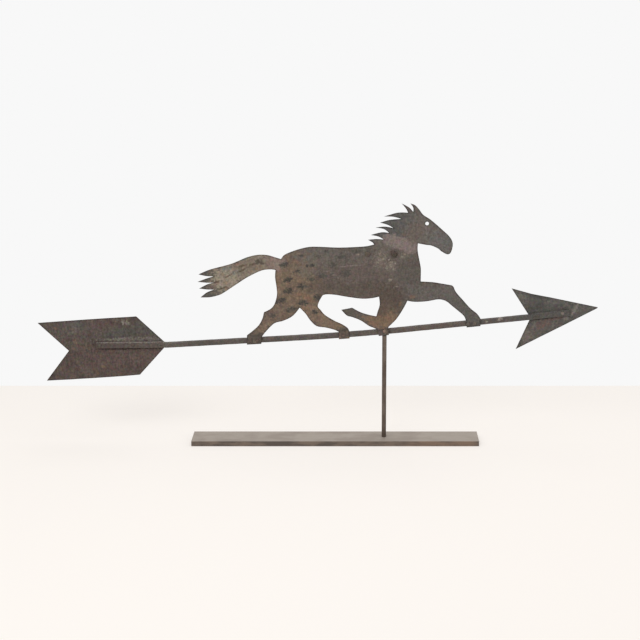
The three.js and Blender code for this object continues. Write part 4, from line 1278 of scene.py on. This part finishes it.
@dataclass(frozen=True)
class Arrow:
    """The forged bar, the fletched tail plate and the barbed head plate.

    A reach is from the spindle, a lap is how far the bar runs over a plate, and a turn is in degrees. A bow
    is how far a plate's free corners stand back, and where in the noise its unevenness is read.
    """

    line: BarLine = BarLine()
    path_steps: int = 300
    corner: float = 0.9
    tail_reach: float = 516.0
    head_reach: float = 329.0
    flat_width: float = 11.4
    flat_thickness: float = 3.6
    taper: float = 9.0
    hammer: float = 0.22
    mark_scale: float = 75.0
    seed: float = 4.0
    step: float = 3.0
    crease: float = 0.6
    tail_size: Point = (224.7, 47.2)
    tail_halves: Point = (55.3, 53.7)
    tail_stand_out: float = 1.8
    tail_shoulders: Point = (49.8, 55.2)
    tail_lap: float = 126.5
    tail_turn: float = 3.9
    tail_lift: float = -0.75
    tail_bow: Point = (0.9, 4.0)
    head_length: float = 150.4
    head_notches: Point = (26.9, 30.8)
    head_halves: Point = (55.2, 57.8)
    head_apex: Point = (0.9, -3.3)
    head_blunt: float = 3.4
    head_lap: float = 70.0
    head_turn: float = 7.6
    head_lift: float = -0.1
    head_bow: Point = (0.7, 9.0)
    plate: float = 1.6
    plate_pitch: float = 1.7
    seat: float = 0.15
    swell: float = 70.0
    ripple: float = 18.0
    ripple_share: float = 0.35
    free_at: float = 50.0
    set_back: float = 0.6

    def build(self) -> None:
        """Makes and dresses the bar and both plates."""
        ride(self._bar(), "vane", "bar_iron", "arrow_shaft")
        tail = self._tail_plate()
        TAIL_IRON.dress(tail)
        ride(tail, "vane", "tail_iron", "fletching_plate")
        head = self._head_plate()
        HEAD_IRON.dress(head)
        ride(head, "vane", "head_iron", "arrowhead_plate")

    def _path(self) -> bpy.types.Object:
        """Draws the bar's centre line as a row of edges.

        Returns:
            The new object.
        """
        reaches = np.linspace(-self.tail_reach, self.head_reach, self.path_steps)
        places = [self.line.at(float(reach)) for reach in reaches]
        mesh = bpy.data.meshes.new("bar")
        edges = [(i, i + 1) for i in range(len(places) - 1)]
        mesh.from_pydata([(x * MM, 0, z * MM) for x, z in places], edges, [])
        return in_scene("bar", mesh)

    def _recipe(self) -> Recipe:
        """Builds the tree that sweeps a square section, beats its ends flat and leaves hammer marks.

        Returns:
            The tree.
        """
        names = (
            "Bar Size", "Corner", "Step", "Width Gain", "Thickness Share", "Tail Flat", "Head Flat", "Taper",
            "Hammer Depth", "Mark Size", "Seed",
        )
        recipe = Recipe("Forged bar", {**dict.fromkeys(names, "Float"), "Finish": "Material"})
        given, out, math_of = recipe.given, recipe.out, recipe.math
        size = given["Bar Size"]
        path = out("MeshToCurve", {0: given["Geometry"]})
        path = out("ResampleCurve", {"Curve": path, "Length": given["Step"]}, mode="LENGTH")
        path = out("SetCurveNormal", {"Curve": path}, mode="Z_UP")
        square = out("CurvePrimitiveQuadrilateral", {"Width": size, "Height": size})
        square = out("FilletCurve", {"Curve": square, "Radius": given["Corner"], "Count": 3}, mode="POLY")
        place = out("InputPosition")
        kept = recipe.add("CaptureAttribute", {0: path})
        kept.capture_items.new("VECTOR", "Centre")
        recipe.tree.links.new(place, kept.inputs["Centre"])
        swept = out("CurveToMesh", {"Curve": kept.outputs[0], "Profile Curve": square, "Fill Caps": True})
        swept = out("SubdivideMesh", {"Mesh": swept, "Level": 1})
        centre = recipe.add("SeparateXYZ", {0: kept.outputs["Centre"]}).outputs
        here = recipe.add("SeparateXYZ", {0: place}).outputs
        ends = (("ADD", given["Tail Flat"]), ("SUBTRACT", given["Head Flat"]))
        flat = math_of("ADD", *(
            recipe.remap(centre["X"], math_of(way, end, given["Taper"]), end) for way, end in ends
        ))
        up, back = math_of("SUBTRACT", here["Z"], centre["Z"]), math_of("MULTIPLY", size, 0.5)
        wider = math_of("MULTIPLY", up, recipe.blend(flat, 1.0, given["Width Gain"]))
        depth = math_of("SUBTRACT", back, here["Y"])
        thinner = math_of("MULTIPLY", depth, recipe.blend(flat, 1.0, given["Thickness Share"]))
        target = out("CombineXYZ", {
            "X": here["X"], "Y": math_of("SUBTRACT", back, thinner), "Z": math_of("ADD", centre["Z"], wider),
        })
        beaten = out("SetPosition", {"Geometry": swept, "Position": target})
        noise_inputs = {"W": given["Seed"], "Scale": given["Mark Size"], "Detail": 1.5}
        marks = recipe.remap(out("TexNoise", noise_inputs, noise_dimensions="4D"), 0.35, 0.7)
        inward = math_of("MULTIPLY", given["Hammer Depth"], -1.0)
        recipe.close(recipe.pushed(beaten, math_of("MULTIPLY", marks, inward)))
        return recipe

    def _bar(self) -> bpy.types.Object:
        """Forges the bar along its line.

        Returns:
            The bar.
        """
        bar, spindle = self.line.size, self.line.spindle
        piece = self._path()
        self._recipe().apply(piece, {
            "Bar Size": bar * MM,
            "Corner": self.corner * MM,
            "Step": self.step * MM,
            "Width Gain": self.flat_width / bar,
            "Thickness Share": self.flat_thickness / bar,
            "Tail Flat": (spindle - self.tail_reach + self.tail_lap - self.taper) * MM,
            "Head Flat": (spindle + self.head_reach - self.head_lap + self.taper) * MM,
            "Taper": self.taper * MM,
            "Hammer Depth": self.hammer * MM,
            "Mark Size": self.mark_scale,
            "Seed": self.seed,
            "Finish": BAR_IRON.material(),
        })
        BAR_IRON.paint(piece)
        soften(piece.data, self.crease)
        return piece

    def _plate(
        self, name: str, corners: Sequence[Point], reach: float, lift: float, turn: float, bow: Point
    ) -> bpy.types.Object:
        """Makes a plate behind the bar.

        Args:
            name: The plate's name.
            corners: Its corners from its own point on the bar.
            reach: That point's distance from the spindle.
            lift: How far it lies above the centre line.
            turn: The plate's rise in degrees.
            bow: How far its free corners stand back, and where the noise is read.

        Returns:
            The new object.
        """
        x0, z0 = self.line.at(reach)
        cosine, sine = math.cos(math.radians(turn)), math.sin(math.radians(turn))
        outline = [(x0 + x * cosine - z * sine, z0 + lift + x * sine + z * cosine) for x, z in corners]
        front = self.line.size / 2 + self.seat
        sheet = SheetPiece(front, front + self.plate, self.plate_pitch)
        return sheet.build(name, outline, [], lambda x, z: self._bent_back(x, z, *bow))

    def _tail_plate(self) -> bpy.types.Object:
        """Makes the fletched plate.

        Returns:
            The plate.
        """
        length, notch = self.tail_size
        upper, lower = self.tail_shoulders
        top, low = self.tail_halves
        corners = [
            (0.0, 0.0), (-upper, top), (-length * 0.5, top + 0.5), (-length - self.tail_stand_out, top),
            (notch - length, 0.0), (-length, -low), (-length * 0.8, -low - 0.8),
            (-length * 0.62, -low - 1.0), (-length * 0.4, -low - 0.7), (-lower, -low),
        ]
        reach = self.tail_lap - self.tail_reach
        return self._plate("tail_plate", corners, reach, self.tail_lift, self.tail_turn, self.tail_bow)

    def _head_plate(self) -> bpy.types.Object:
        """Makes the barbed plate, its tip worn blunt.

        Returns:
            The plate.
        """
        length = self.head_length
        upper, lower = self.head_halves
        upper_notch, lower_notch = self.head_notches
        tip, blunt = length - upper_notch, self.head_blunt
        corners = [
            self.head_apex, (-lower_notch, -lower), (length * 0.35, -lower * 0.463),
            (tip - blunt, -blunt * 0.36), (tip - blunt * 0.6, -blunt * 0.1),
            (tip - blunt * 0.7, blunt * 0.16), (tip - blunt, blunt * 0.26),
            (length * 0.3, upper * 0.5), (length * 0.049, upper * 0.731), (-upper_notch, upper),
        ]
        reach = self.head_reach - self.head_lap
        return self._plate("head_plate", corners, reach, self.head_lift, self.head_turn, self.head_bow)

    def _bent_back(self, x: float, z: float, most: float, seed: float) -> float:
        """Gives how far a plate stands back from the bar's plane, which is nothing where the bar grips it.

        Args:
            x: The place's X.
            z: The place's Z.
            most: About how far it stands back at its free corners.
            seed: Where the noise is read.

        Returns:
            The distance along Y.
        """
        off = abs(z - self.line.at(x - self.line.spindle)[1])
        free = smooth_step(self.flat_width / 2, self.free_at, off)
        wave = waves(x, z, (self.swell, seed), (self.ripple, seed), self.ripple_share)
        return most * free * (self.set_back + wave)


def waves(x: float, z: float, wide: Point, narrow: Point, share: float) -> float:
    """Gives the unevenness of a sheet cut by hand.

    Args:
        x: The place's X.
        z: The place's Z.
        wide: How long the wide waves are, and where in the noise they are read.
        narrow: The same of the narrow ones.
        share: How high the narrow ones are beside the wide ones.

    Returns:
        A height from about -1 to 1.
    """
    swell, ripple = (
        noise.noise(Vector((x / length, seed, z / length))) for length, seed in (wide, narrow)
    )
    return swell + share * ripple


@dataclass(frozen=True)
class Horse:
    """The trotting horse, cut from one sheet and riveted to the front of the bar.

    Places are shares of its length, from the spindle, and of its height, over the bar's line. It bows out of
    its plane once it is free of the bar and of a rivet, between each pair of distances.
    """

    line: BarLine = BarLine()
    length: float = 444.0
    height: float = 227.0
    thickness: float = 1.6
    pitch: float = 1.3
    seat: float = 0.12
    hoof_hang: float = 1.65
    knee_hang: float = 0.4
    eye: Point = (0.164, 0.836)
    eye_radius: float = 3.25
    eye_sides: int = 40
    bow: float = 0.45
    swell: Point = (60.0, 2.5)
    ripple: Point = (14.0, 7.5)
    ripple_share: float = 0.3
    lean_out: float = 0.4
    free_of_bar: Point = (8.0, 45.0)
    free_of_rivet: Point = (10.0, 40.0)
    shoulder_rivets: tuple[Point, ...] = ((57.5, 352.6), (103.9, 352.6))

    def build(self) -> None:
        """Makes and dresses the horse."""
        back = -self.line.size / 2 - self.seat
        sheet = SheetPiece(back - self.thickness, back, self.pitch)
        x, z = self._place(self.eye)
        ring = [
            (x + self.eye_radius * math.cos(a), z + self.eye_radius * math.sin(a))
            for a in np.linspace(0, 2 * math.pi, self.eye_sides, endpoint=False)
        ]
        horse = sheet.build("horse", self._outline(), [ring], self._uneven)
        HORSE_IRON.dress(horse)
        ride(horse, "vane", "horse_iron", "horse_plate")

    def _place(self, shares: Point) -> Point:
        """Turns shares of the horse's length and height into a place on the sheet."""
        x, z = self.line.at(shares[0] * self.length)
        return x, z + shares[1] * self.height

    def _outline(self) -> list[Point]:
        """Follows the horse from its lowest tail strand round to it again.

        Returns:
            The outline in X and Z.
        """
        hoof = -(self.line.size / 2 + self.hoof_hang) / self.height
        knee = -(self.line.size / 2 - self.knee_hang) / self.height
        outline = [self._place((-0.733, 0.378))]

        def curve(*shares: Point) -> None:
            """Goes on smoothly through these places."""
            outline.extend(through([outline[-1], *(self._place(s) for s in shares)]))

        def line(*shares: Point) -> None:
            """Goes on straight to each of these places."""
            outline.extend(self._place(s) for s in shares)

        # tail strands and their notches
        for middle, end in (
            ((-0.707, 0.415), (-0.678, 0.435)), ((-0.706, 0.439), (-0.737, 0.450)),
            ((-0.704, 0.480), (-0.675, 0.491)), ((-0.704, 0.493), (-0.742, 0.504)),
            ((-0.708, 0.526), (-0.678, 0.541)), ((-0.708, 0.547), (-0.738, 0.563)),
        ):
            curve(middle, end)
        # top of the tail and the back
        curve((-0.693, 0.596), (-0.617, 0.628), (-0.582, 0.650), (-0.545, 0.677), (-0.505, 0.691),
              (-0.466, 0.686), (-0.433, 0.664), (-0.411, 0.648))
        curve((-0.396, 0.680), (-0.355, 0.710), (-0.304, 0.730), (-0.260, 0.727), (-0.189, 0.711),
              (-0.130, 0.705), (-0.075, 0.703), (-0.043, 0.712))
        # mane locks
        for middle, end in (
            ((-0.050, 0.730), (-0.067, 0.753)), ((-0.035, 0.753), (-0.005, 0.744)),
            ((-0.026, 0.771), (-0.056, 0.789)), ((-0.014, 0.802), (0.016, 0.792)),
            ((-0.005, 0.826), (-0.037, 0.844)), ((-0.001, 0.844), (0.033, 0.826)),
            ((0.009, 0.857), (-0.020, 0.879)), ((0.017, 0.893), (0.064, 0.892)),
            ((0.030, 0.916), (-0.004, 0.924)),
        ):
            curve(middle, end)
        curve((0.041, 0.942), (0.065, 0.942), (0.089, 0.935))
        # forelock, ear and head
        curve((0.080, 0.971), (0.064, 1.012))
        curve((0.093, 0.975), (0.109, 0.938))
        curve((0.109, 0.970), (0.098, 1.005))
        curve((0.116, 0.988), (0.132, 0.952), (0.149, 0.906), (0.180, 0.859), (0.225, 0.773), (0.252, 0.717),
              (0.266, 0.661), (0.260, 0.594), (0.246, 0.578), (0.223, 0.605), (0.208, 0.632), (0.183, 0.659),
              (0.161, 0.670), (0.129, 0.688))
        # chest and reaching foreleg
        curve((0.128, 0.651), (0.130, 0.610), (0.138, 0.531), (0.142, 0.480), (0.142, 0.382))
        curve((0.189, 0.367), (0.219, 0.352), (0.265, 0.327))
        curve((0.273, 0.312), (0.283, 0.269), (0.314, 0.192), (0.341, 0.127), (0.369, 0.076), (0.383, 0.034))
        line((0.384, hoof), (0.329, hoof), (0.325, 0.030))
        curve((0.319, 0.061), (0.307, 0.090), (0.269, 0.160), (0.248, 0.199), (0.228, 0.219), (0.207, 0.225),
              (0.172, 0.219), (0.138, 0.220), (0.113, 0.226), (0.090, 0.238))
        # folded foreleg
        curve((0.076, 0.184), (0.048, 0.101), (0.0155, 0.040))
        line((0.0155, knee), (-0.022, knee), (-0.030, 0.028))
        curve((-0.044, 0.044), (-0.062, 0.062), (-0.096, 0.113), (-0.130, 0.146), (-0.151, 0.162),
              (-0.173, 0.211))
        curve((-0.151, 0.216), (-0.130, 0.221))
        curve((-0.096, 0.179), (-0.061, 0.151), (-0.033, 0.135))
        curve((-0.029, 0.166), (-0.020, 0.226), (-0.023, 0.293))
        # belly, middle leg and rearmost leg
        curve((-0.051, 0.286), (-0.089, 0.288), (-0.144, 0.310), (-0.199, 0.337), (-0.238, 0.344),
              (-0.252, 0.324), (-0.267, 0.258), (-0.255, 0.219), (-0.237, 0.176), (-0.200, 0.125),
              (-0.172, 0.095), (-0.149, 0.061), (-0.141, 0.030))
        line((-0.140, hoof), (-0.183, hoof), (-0.184, 0.034))
        curve((-0.201, 0.053), (-0.236, 0.076), (-0.272, 0.093), (-0.297, 0.142), (-0.315, 0.197),
              (-0.339, 0.251))
        curve((-0.354, 0.213), (-0.374, 0.178), (-0.407, 0.151), (-0.442, 0.134), (-0.476, 0.071),
              (-0.491, 0.034))
        line((-0.495, hoof), (-0.553, hoof), (-0.552, 0.049))
        curve((-0.527, 0.085), (-0.504, 0.126), (-0.489, 0.177), (-0.482, 0.229))
        curve((-0.455, 0.254), (-0.439, 0.293), (-0.429, 0.363), (-0.430, 0.425), (-0.435, 0.506),
              (-0.433, 0.564))
        # underside of the tail
        curve((-0.451, 0.571), (-0.481, 0.569), (-0.512, 0.549), (-0.553, 0.510), (-0.595, 0.460),
              (-0.634, 0.413), (-0.658, 0.390), (-0.695, 0.376), (-0.733, 0.378))
        return outline[:-1]

    def _uneven(self, x: float, z: float) -> float:
        """Gives how far the sheet stands out of its plane, which is nothing where it is riveted.

        Args:
            x: The place's X.
            z: The place's Z.

        Returns:
            The distance along Y.
        """
        free = smooth_step(*self.free_of_bar, z - self.line.at(x - self.line.spindle)[1])
        for rivet_x, rivet_z in self.shoulder_rivets:
            free *= smooth_step(*self.free_of_rivet, math.hypot(x - rivet_x, z - rivet_z))
        wave = waves(x, z, self.swell, self.ripple, self.ripple_share)
        return self.bow * free * (wave - self.lean_out)


@dataclass(frozen=True)
class Pivot:
    """The folded collar under the knee and the strap at the shoulder."""

    line: BarLine = BarLine()
    collar_rear: float = 11.0
    collar_front: float = 7.3
    collar_thickness: float = 1.2
    collar_bend: float = 2.2
    front_inside: float = -6.7
    back_inside: float = 4.8
    bore: float = 2.7
    strap_width: float = 12.0
    strap_thickness: float = 2.0
    strap_face: float = -4.5
    strap_end: float = 6.0
    strap_root: float = 1.4
    strap_neck: Point = (0.4, 0.5)
    broken_edge: float = 0.25
    bend_steps: int = 7
    fold_steps: int = 25

    def build(self) -> None:
        """Makes and dresses the collar and the strap."""
        for piece, node in ((self._collar(), "pivot_collar"), (self._strap(), "bearing_strap")):
            finish_edges(piece, self.broken_edge)
            BAR_IRON.dress(piece)
            ride(piece, "vane", "bar_iron", node)

    def _collar(self) -> bpy.types.Object:
        """Folds a strip under the bar, its front leaf over the knee.

        Returns:
            The collar.
        """
        half = self.line.size / 2
        inner, top = -half - GAP, half
        front, back, wall = self.front_inside, self.back_inside, self.collar_thickness

        def leaf(y_front: float, y_back: float, bottom: float, radius: float) -> list[Point]:
            """Follows one face of the strip from its front top edge to its back one.

            Args:
                y_front: The front leaf's place.
                y_back: The back leaf's place.
                bottom: The height of the fold.
                radius: The radius of its two bends.

            Returns:
                The face's corners.
            """
            turns = np.linspace(0, math.pi / 2, self.bend_steps)
            bend = [(radius * (1 - math.cos(a)), radius * (1 - math.sin(a))) for a in turns]
            first = [(y_front + far, bottom + near) for far, near in bend]
            second = [(y_back - near, bottom + far) for far, near in bend]
            return [(y_front, top), *first, *second, (y_back, top)]

        section = leaf(front - wall, back + wall, inner - wall, self.collar_bend)
        section += leaf(front, back, inner, self.collar_bend - wall)[::-1]
        near = 2.0
        rise = math.atan((self.line.rise(near) - self.line.rise(-near)) / (2 * near))
        x0, z0 = self.line.at(0.0)
        cosine, sine = math.cos(rise), math.sin(rise)

        def to_place(y: float, z: float, along: float) -> Place:
            """Turns the section to the bar's rise."""
            return x0 + along * cosine - z * sine, y, z0 + along * sine + z * cosine

        return extruded("collar", section, -self.collar_rear, self.collar_front, to_place)

    def _strap(self) -> bpy.types.Object:
        """Folds the strap round the spindle, with an ear for each rivet.

        Returns:
            The strap.
        """
        bore, outer = self.bore, self.bore + self.strap_thickness
        face, ear = self.strap_face, self.strap_face + self.strap_thickness
        rear, front = SHOULDER_REACHES[0] - self.strap_end, SHOULDER_REACHES[1] + self.strap_end
        root, (neck, lift) = self.strap_root, self.strap_neck
        turns = np.linspace(math.pi, 0, self.fold_steps)
        hollow = [(bore * math.cos(a), bore * math.sin(a)) for a in turns]
        round_face = [(outer * math.cos(a), outer * math.sin(a)) for a in turns[::-1]]
        section = [
            (rear, face), (-bore, face), *hollow, (bore, face), (front, face), (front, ear),
            (outer + root, ear), (outer + neck, ear + lift), *round_face, (-outer - neck, ear + lift),
            (-outer - root, ear), (rear, ear),
        ]
        middle, half = self.line.height + SHOULDER_RISE, self.strap_width / 2

        def to_place(x: float, y: float, along: float) -> Place:
            """Stands the section upright on the spindle's axis."""
            return self.line.spindle + x, y, along

        return extruded("strap", section, middle - half, middle + half, to_place)


class HeadStyle(Enum):
    """What the smith left at the end of a rivet: radius and height."""

    PLATE = (3.2, 1.7)
    SHOULDER = (4.8, 2.2)
    KEEPER = (4.3, 2.6)
    PEENED = (2.8, 1.0)
    FLUSH = (1.3, 0.25)


@dataclass(frozen=True)
class Head:
    """One head: the middle of its seat, its style and whether it faces the viewer."""

    place: Place
    style: HeadStyle
    forward: bool = True


@dataclass(frozen=True)
class Rivets:
    """All the rivet heads and peened ends of the vane, with the keeper's head.

    Fronts and backs are the seats' places along Y. The tail, head, hooves and collar have their rivets'
    distances from the spindle, and the keeper its distance and how far it lies over the bar's line.
    """

    line: BarLine = BarLine()
    bar_back: float = 4.5
    flat_front: float = 0.9
    plate_back: float = 6.15
    horse_front: float = -6.18
    collar_front: float = -7.9
    collar_back: float = 6.0
    strap_back: float = -2.5
    tail: tuple[float, ...] = (-510.0, -450.0, -402.5)
    head: tuple[float, ...] = (316.0, 272.5)
    hooves: tuple[float, ...] = (148.0, 159.5, -73.5, -238.5, -226.5)
    collar: float = -7.4
    keeper: Point = (1.0, 1.8)
    sides: int = 24
    wobble: float = 0.12
    dent: float = 0.22
    dent_scale: float = 420.0
    seed: int = 11
    crease: float = 0.9
    names: tuple[str, ...] = (
        "tail_rivet_1", "tail_rivet_2", "tail_rivet_3", "head_rivet_1", "head_rivet_2", "front_hoof_rivet_1",
        "front_hoof_rivet_2", "middle_hoof_rivet", "rear_hoof_rivet_1", "rear_hoof_rivet_2",
        "shoulder_rivet_rear", "shoulder_rivet_front", "collar_rivet", "keeper_screw",
    )

    def build(self) -> None:
        """Sets a hammered head at every place and dresses them."""
        piece, dome = self._points(self._heads()), self._dome()
        self._recipe().apply(piece, {
            "Head": dome, "Wobble": self.wobble, "Dent Depth": self.dent * MM, "Dent Size": self.dent_scale,
            "Seed": self.seed, "Finish": RIVET_IRON.material(),
        })
        bpy.data.objects.remove(dome)
        RIVET_IRON.paint(piece)
        soften(piece.data, self.crease)
        ride(piece, "vane", "rivet_iron", *self.names)

    def _heads(self) -> list[Head]:
        """Lists the heads, each front one before the end behind it.

        Returns:
            The heads.
        """
        heads: list[Head] = []

        def pair(reach: float, z: float, front: float, back: float, style: HeadStyle) -> None:
            """Puts a head in front and a peened end behind.

            Args:
                reach: Their distance from the spindle.
                z: Their height.
                front: The front head's seat.
                back: The peened end's seat.
                style: The front head's style.
            """
            x = self.line.spindle + reach
            heads.append(Head((x, front, z), style))
            heads.append(Head((x, back, z), HeadStyle.PEENED, False))

        for reach in (*self.tail, *self.head):
            pair(reach, self.line.at(reach)[1], self.flat_front, self.plate_back, HeadStyle.PLATE)
        for reach in self.hooves:
            pair(reach, self.line.at(reach)[1], self.horse_front, self.bar_back, HeadStyle.PLATE)
        for reach in SHOULDER_REACHES:
            z = self.line.height + SHOULDER_RISE
            pair(reach, z, self.horse_front, self.strap_back, HeadStyle.SHOULDER)
        x, z = self.line.at(self.collar)
        heads.append(Head((x, self.collar_front, z), HeadStyle.FLUSH))
        heads.append(Head((x, self.collar_back, z), HeadStyle.FLUSH, False))
        reach, rise = self.keeper
        place = (self.line.spindle + reach, self.collar_front, self.line.height + rise)
        heads.append(Head(place, HeadStyle.KEEPER))
        return heads

    @staticmethod
    def _points(heads: Sequence[Head]) -> bpy.types.Object:
        """Makes a mesh of loose points that carry each head's size and turn.

        Args:
            heads: The heads.

        Returns:
            The new object.
        """
        mesh = bpy.data.meshes.new("rivets")
        mesh.from_pydata([tuple(v * MM for v in head.place) for head in heads], [], [])
        size, turn = (mesh.attributes.new(n, "FLOAT_VECTOR", "POINT") for n in ("head_size", "head_turn"))
        for i, head in enumerate(heads):
            radius, height = head.style.value
            size.data[i].vector = (radius * MM, radius * MM, height * MM)
            turn.data[i].vector = (math.pi / 2 if head.forward else -math.pi / 2, 0.0, 0.0)
        return in_scene("rivets", mesh)

    def _dome(self) -> bpy.types.Object:
        """Makes a head of radius and height 1 that stands on its seat, sunk a little into it.

        Returns:
            The head.
        """
        sink, foot, lip, spring, last = 0.15, 0.96, 0.04, 0.12, 1.4
        profile = [(0.0, -sink), (foot, -sink), (1.0, lip)]
        turns = np.linspace(spring, last, 8)
        profile += [(math.cos(a), spring + (1 - spring) * math.sin(a)) for a in turns]
        dome = revolved([*profile, (0.0, 1.0)], self.sides, "dome", self.crease)
        dome.data.transform(Matrix.Scale(1 / MM, 4))
        return dome

    @staticmethod
    def _recipe() -> Recipe:
        """Builds the tree that sets the heads, tilts them and dents them.

        Returns:
            The tree.
        """
        recipe = Recipe("Hammered heads", {
            "Head": "Object", "Wobble": "Float", "Dent Depth": "Float", "Dent Size": "Float", "Seed": "Int",
            "Finish": "Material",
        })
        given, out, math_of = recipe.given, recipe.out, recipe.math
        points = out("MeshToPoints", {"Mesh": given["Geometry"]})
        head = recipe.add("ObjectInfo", {"Object": given["Head"], "As Instance": True}).outputs["Geometry"]
        size, turn = (
            out("InputNamedAttribute", {"Name": name}, data_type="FLOAT_VECTOR")
            for name in ("head_size", "head_turn")
        )
        facing = out("EulerToRotation", {0: turn})
        inputs = {"Points": points, "Instance": head, "Rotation": facing, "Scale": size}
        set_down = out("InstanceOnPoints", inputs)
        wobble = given["Wobble"]
        reach = math_of("MULTIPLY", wobble, -1.0)
        least = out("CombineXYZ", {"X": reach, "Y": reach, "Z": -math.pi})
        most = out("CombineXYZ", {"X": wobble, "Y": wobble, "Z": math.pi})
        chance = out("RandomValue", {0: least, 1: most, "Seed": given["Seed"]}, data_type="FLOAT_VECTOR")
        tilt = out("EulerToRotation", {0: chance})
        tilted = out("RotateInstances", {"Instances": set_down, "Rotation": tilt, "Local Space": True})
        real = out("RealizeInstances", {0: tilted})
        dents = out("TexNoise", {"Scale": given["Dent Size"], "Detail": 1.0})
        sunk = math_of("MULTIPLY", math_of("SUBTRACT", dents, 0.5), given["Dent Depth"])
        recipe.close(recipe.pushed(real, sunk))
        return recipe


# Studio


@dataclass(frozen=True)
class Lamp:
    """A soft rectangular lamp: where it hangs, what it points at, its width and height, and its watts."""

    name: str
    place: Place
    aim: Place
    size: Point
    power: float

    def hang(self) -> None:
        """Puts the lamp into the scene."""
        data = bpy.data.lights.new(self.name, "AREA")
        data.shape = "RECTANGLE"
        data.size, data.size_y = self.size[0] * MM, self.size[1] * MM
        data.energy = self.power
        lamp = in_scene(self.name, data)
        lamp.location = Vector(self.place) * MM
        lamp.rotation_euler = (Vector(self.aim) - Vector(self.place)).to_track_quat("-Z", "Y").to_euler()


@dataclass(frozen=True)
class Studio:
    """Pale floor, white backdrop, soft lamps and the camera at the picture's angle.

    The picture, the focal length and the middle are in the picture's pixels, and the pitch is in degrees.
    """

    picture: float = 640.0
    focal: float = 1313.0
    middle_x: float = 355.0
    sensor: float = 36.0
    camera_at: Place = (35.9, -2245.1, 880.9)
    pitch: float = 16.15
    floor_half: float = 4000.0
    floor_end: float = 311.0
    floor_colour: Colour = (250, 245, 240)
    backdrop: Colour = (248, 248, 248)
    fill_colour: tuple[float, ...] = (1.0, 0.99, 0.975, 1.0)
    fill: float = 0.56
    glow: float = 0.55
    lamps: tuple[Lamp, ...] = (
        Lamp("key", (-900, -1500, 1700), (50, 0, 200), (1400, 900), 16.5),
        Lamp("top", (200, 200, 1900), (50, 0, 0), (1600, 1200), 11.5),
        Lamp("side", (1700, -900, 900), (50, 0, 200), (900, 900), 4.3),
    )

    def build(self) -> None:
        """Makes the floor, the world, the lamps and the camera."""
        self._floor()
        self._world()
        for lamp in self.lamps:
            lamp.hang()
        self._camera()
        bpy.context.scene.view_settings.view_transform = "Standard"

    def _floor(self) -> None:
        """Lays the floor, which shows pale to the camera and keeps the shadow."""
        half, end = self.floor_half, self.floor_end
        verts = [(-half, -half, 0), (half, -half, 0), (half, end, 0), (-half, end, 0)]
        floor = new_piece("floor", verts, [(0, 1, 2, 3)])
        sheet = NodeSheet("floor")
        pale = linear(self.floor_colour)
        cloth, glow = sheet.out("BsdfDiffuse", {"Color": pale}), sheet.out("Emission", {"Color": pale})
        rays = sheet.add("LightPath").outputs
        seen = sheet.math("MAXIMUM", rays["Is Camera Ray"], rays["Is Glossy Ray"])
        both = sheet.out("MixShader", {0: sheet.product(seen, self.glow), 1: cloth, 2: glow})
        sheet.add("OutputMaterial", {"Surface": both})
        dress(floor, sheet.material)

    def _world(self) -> None:
        """Makes a white backdrop for what looks at it and an even soft light for the rest."""
        world = bpy.data.worlds.new("studio")
        bpy.context.scene.world = world
        world.use_nodes = True
        world.node_tree.nodes.clear()
        graph = Graph(world.node_tree, "Shader")
        light = graph.out("Background", {"Color": self.fill_colour, "Strength": self.fill})
        shown = graph.out("Background", {"Color": linear(self.backdrop)})
        rays = graph.add("LightPath").outputs
        direct = graph.math("MAXIMUM", rays["Is Camera Ray"], rays["Is Glossy Ray"])
        looking = graph.math("MAXIMUM", direct, rays["Is Transmission Ray"])
        graph.add("OutputWorld", {"Surface": graph.out("MixShader", {0: looking, 1: light, 2: shown})})

    def _camera(self) -> None:
        """Sets the camera where the picture was taken from."""
        data = bpy.data.cameras.new("camera")
        data.sensor_width = self.sensor
        data.lens = self.focal * self.sensor / self.picture
        data.shift_x = (self.picture / 2 - self.middle_x) / self.picture
        data.clip_start, data.clip_end = 0.05, 50.0
        camera = in_scene("camera", data)
        camera.location = Vector(self.camera_at) * MM
        camera.rotation_euler = Euler((math.radians(90 - self.pitch), 0.0, 0.0))
        bpy.context.scene.camera = camera


def main() -> None:
    """Builds the stand, the vane and the studio in order."""
    logging.basicConfig(level=logging.INFO, format="%(name)s: %(message)s")
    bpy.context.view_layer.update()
    for assembly in (Stand(), Arrow(), Horse(), Pivot(), Rivets(), Studio()):
        LOG.info("making %s", type(assembly).__name__)
        assembly.build()
    bpy.context.view_layer.update()


if __name__ == "__main__":
    main()
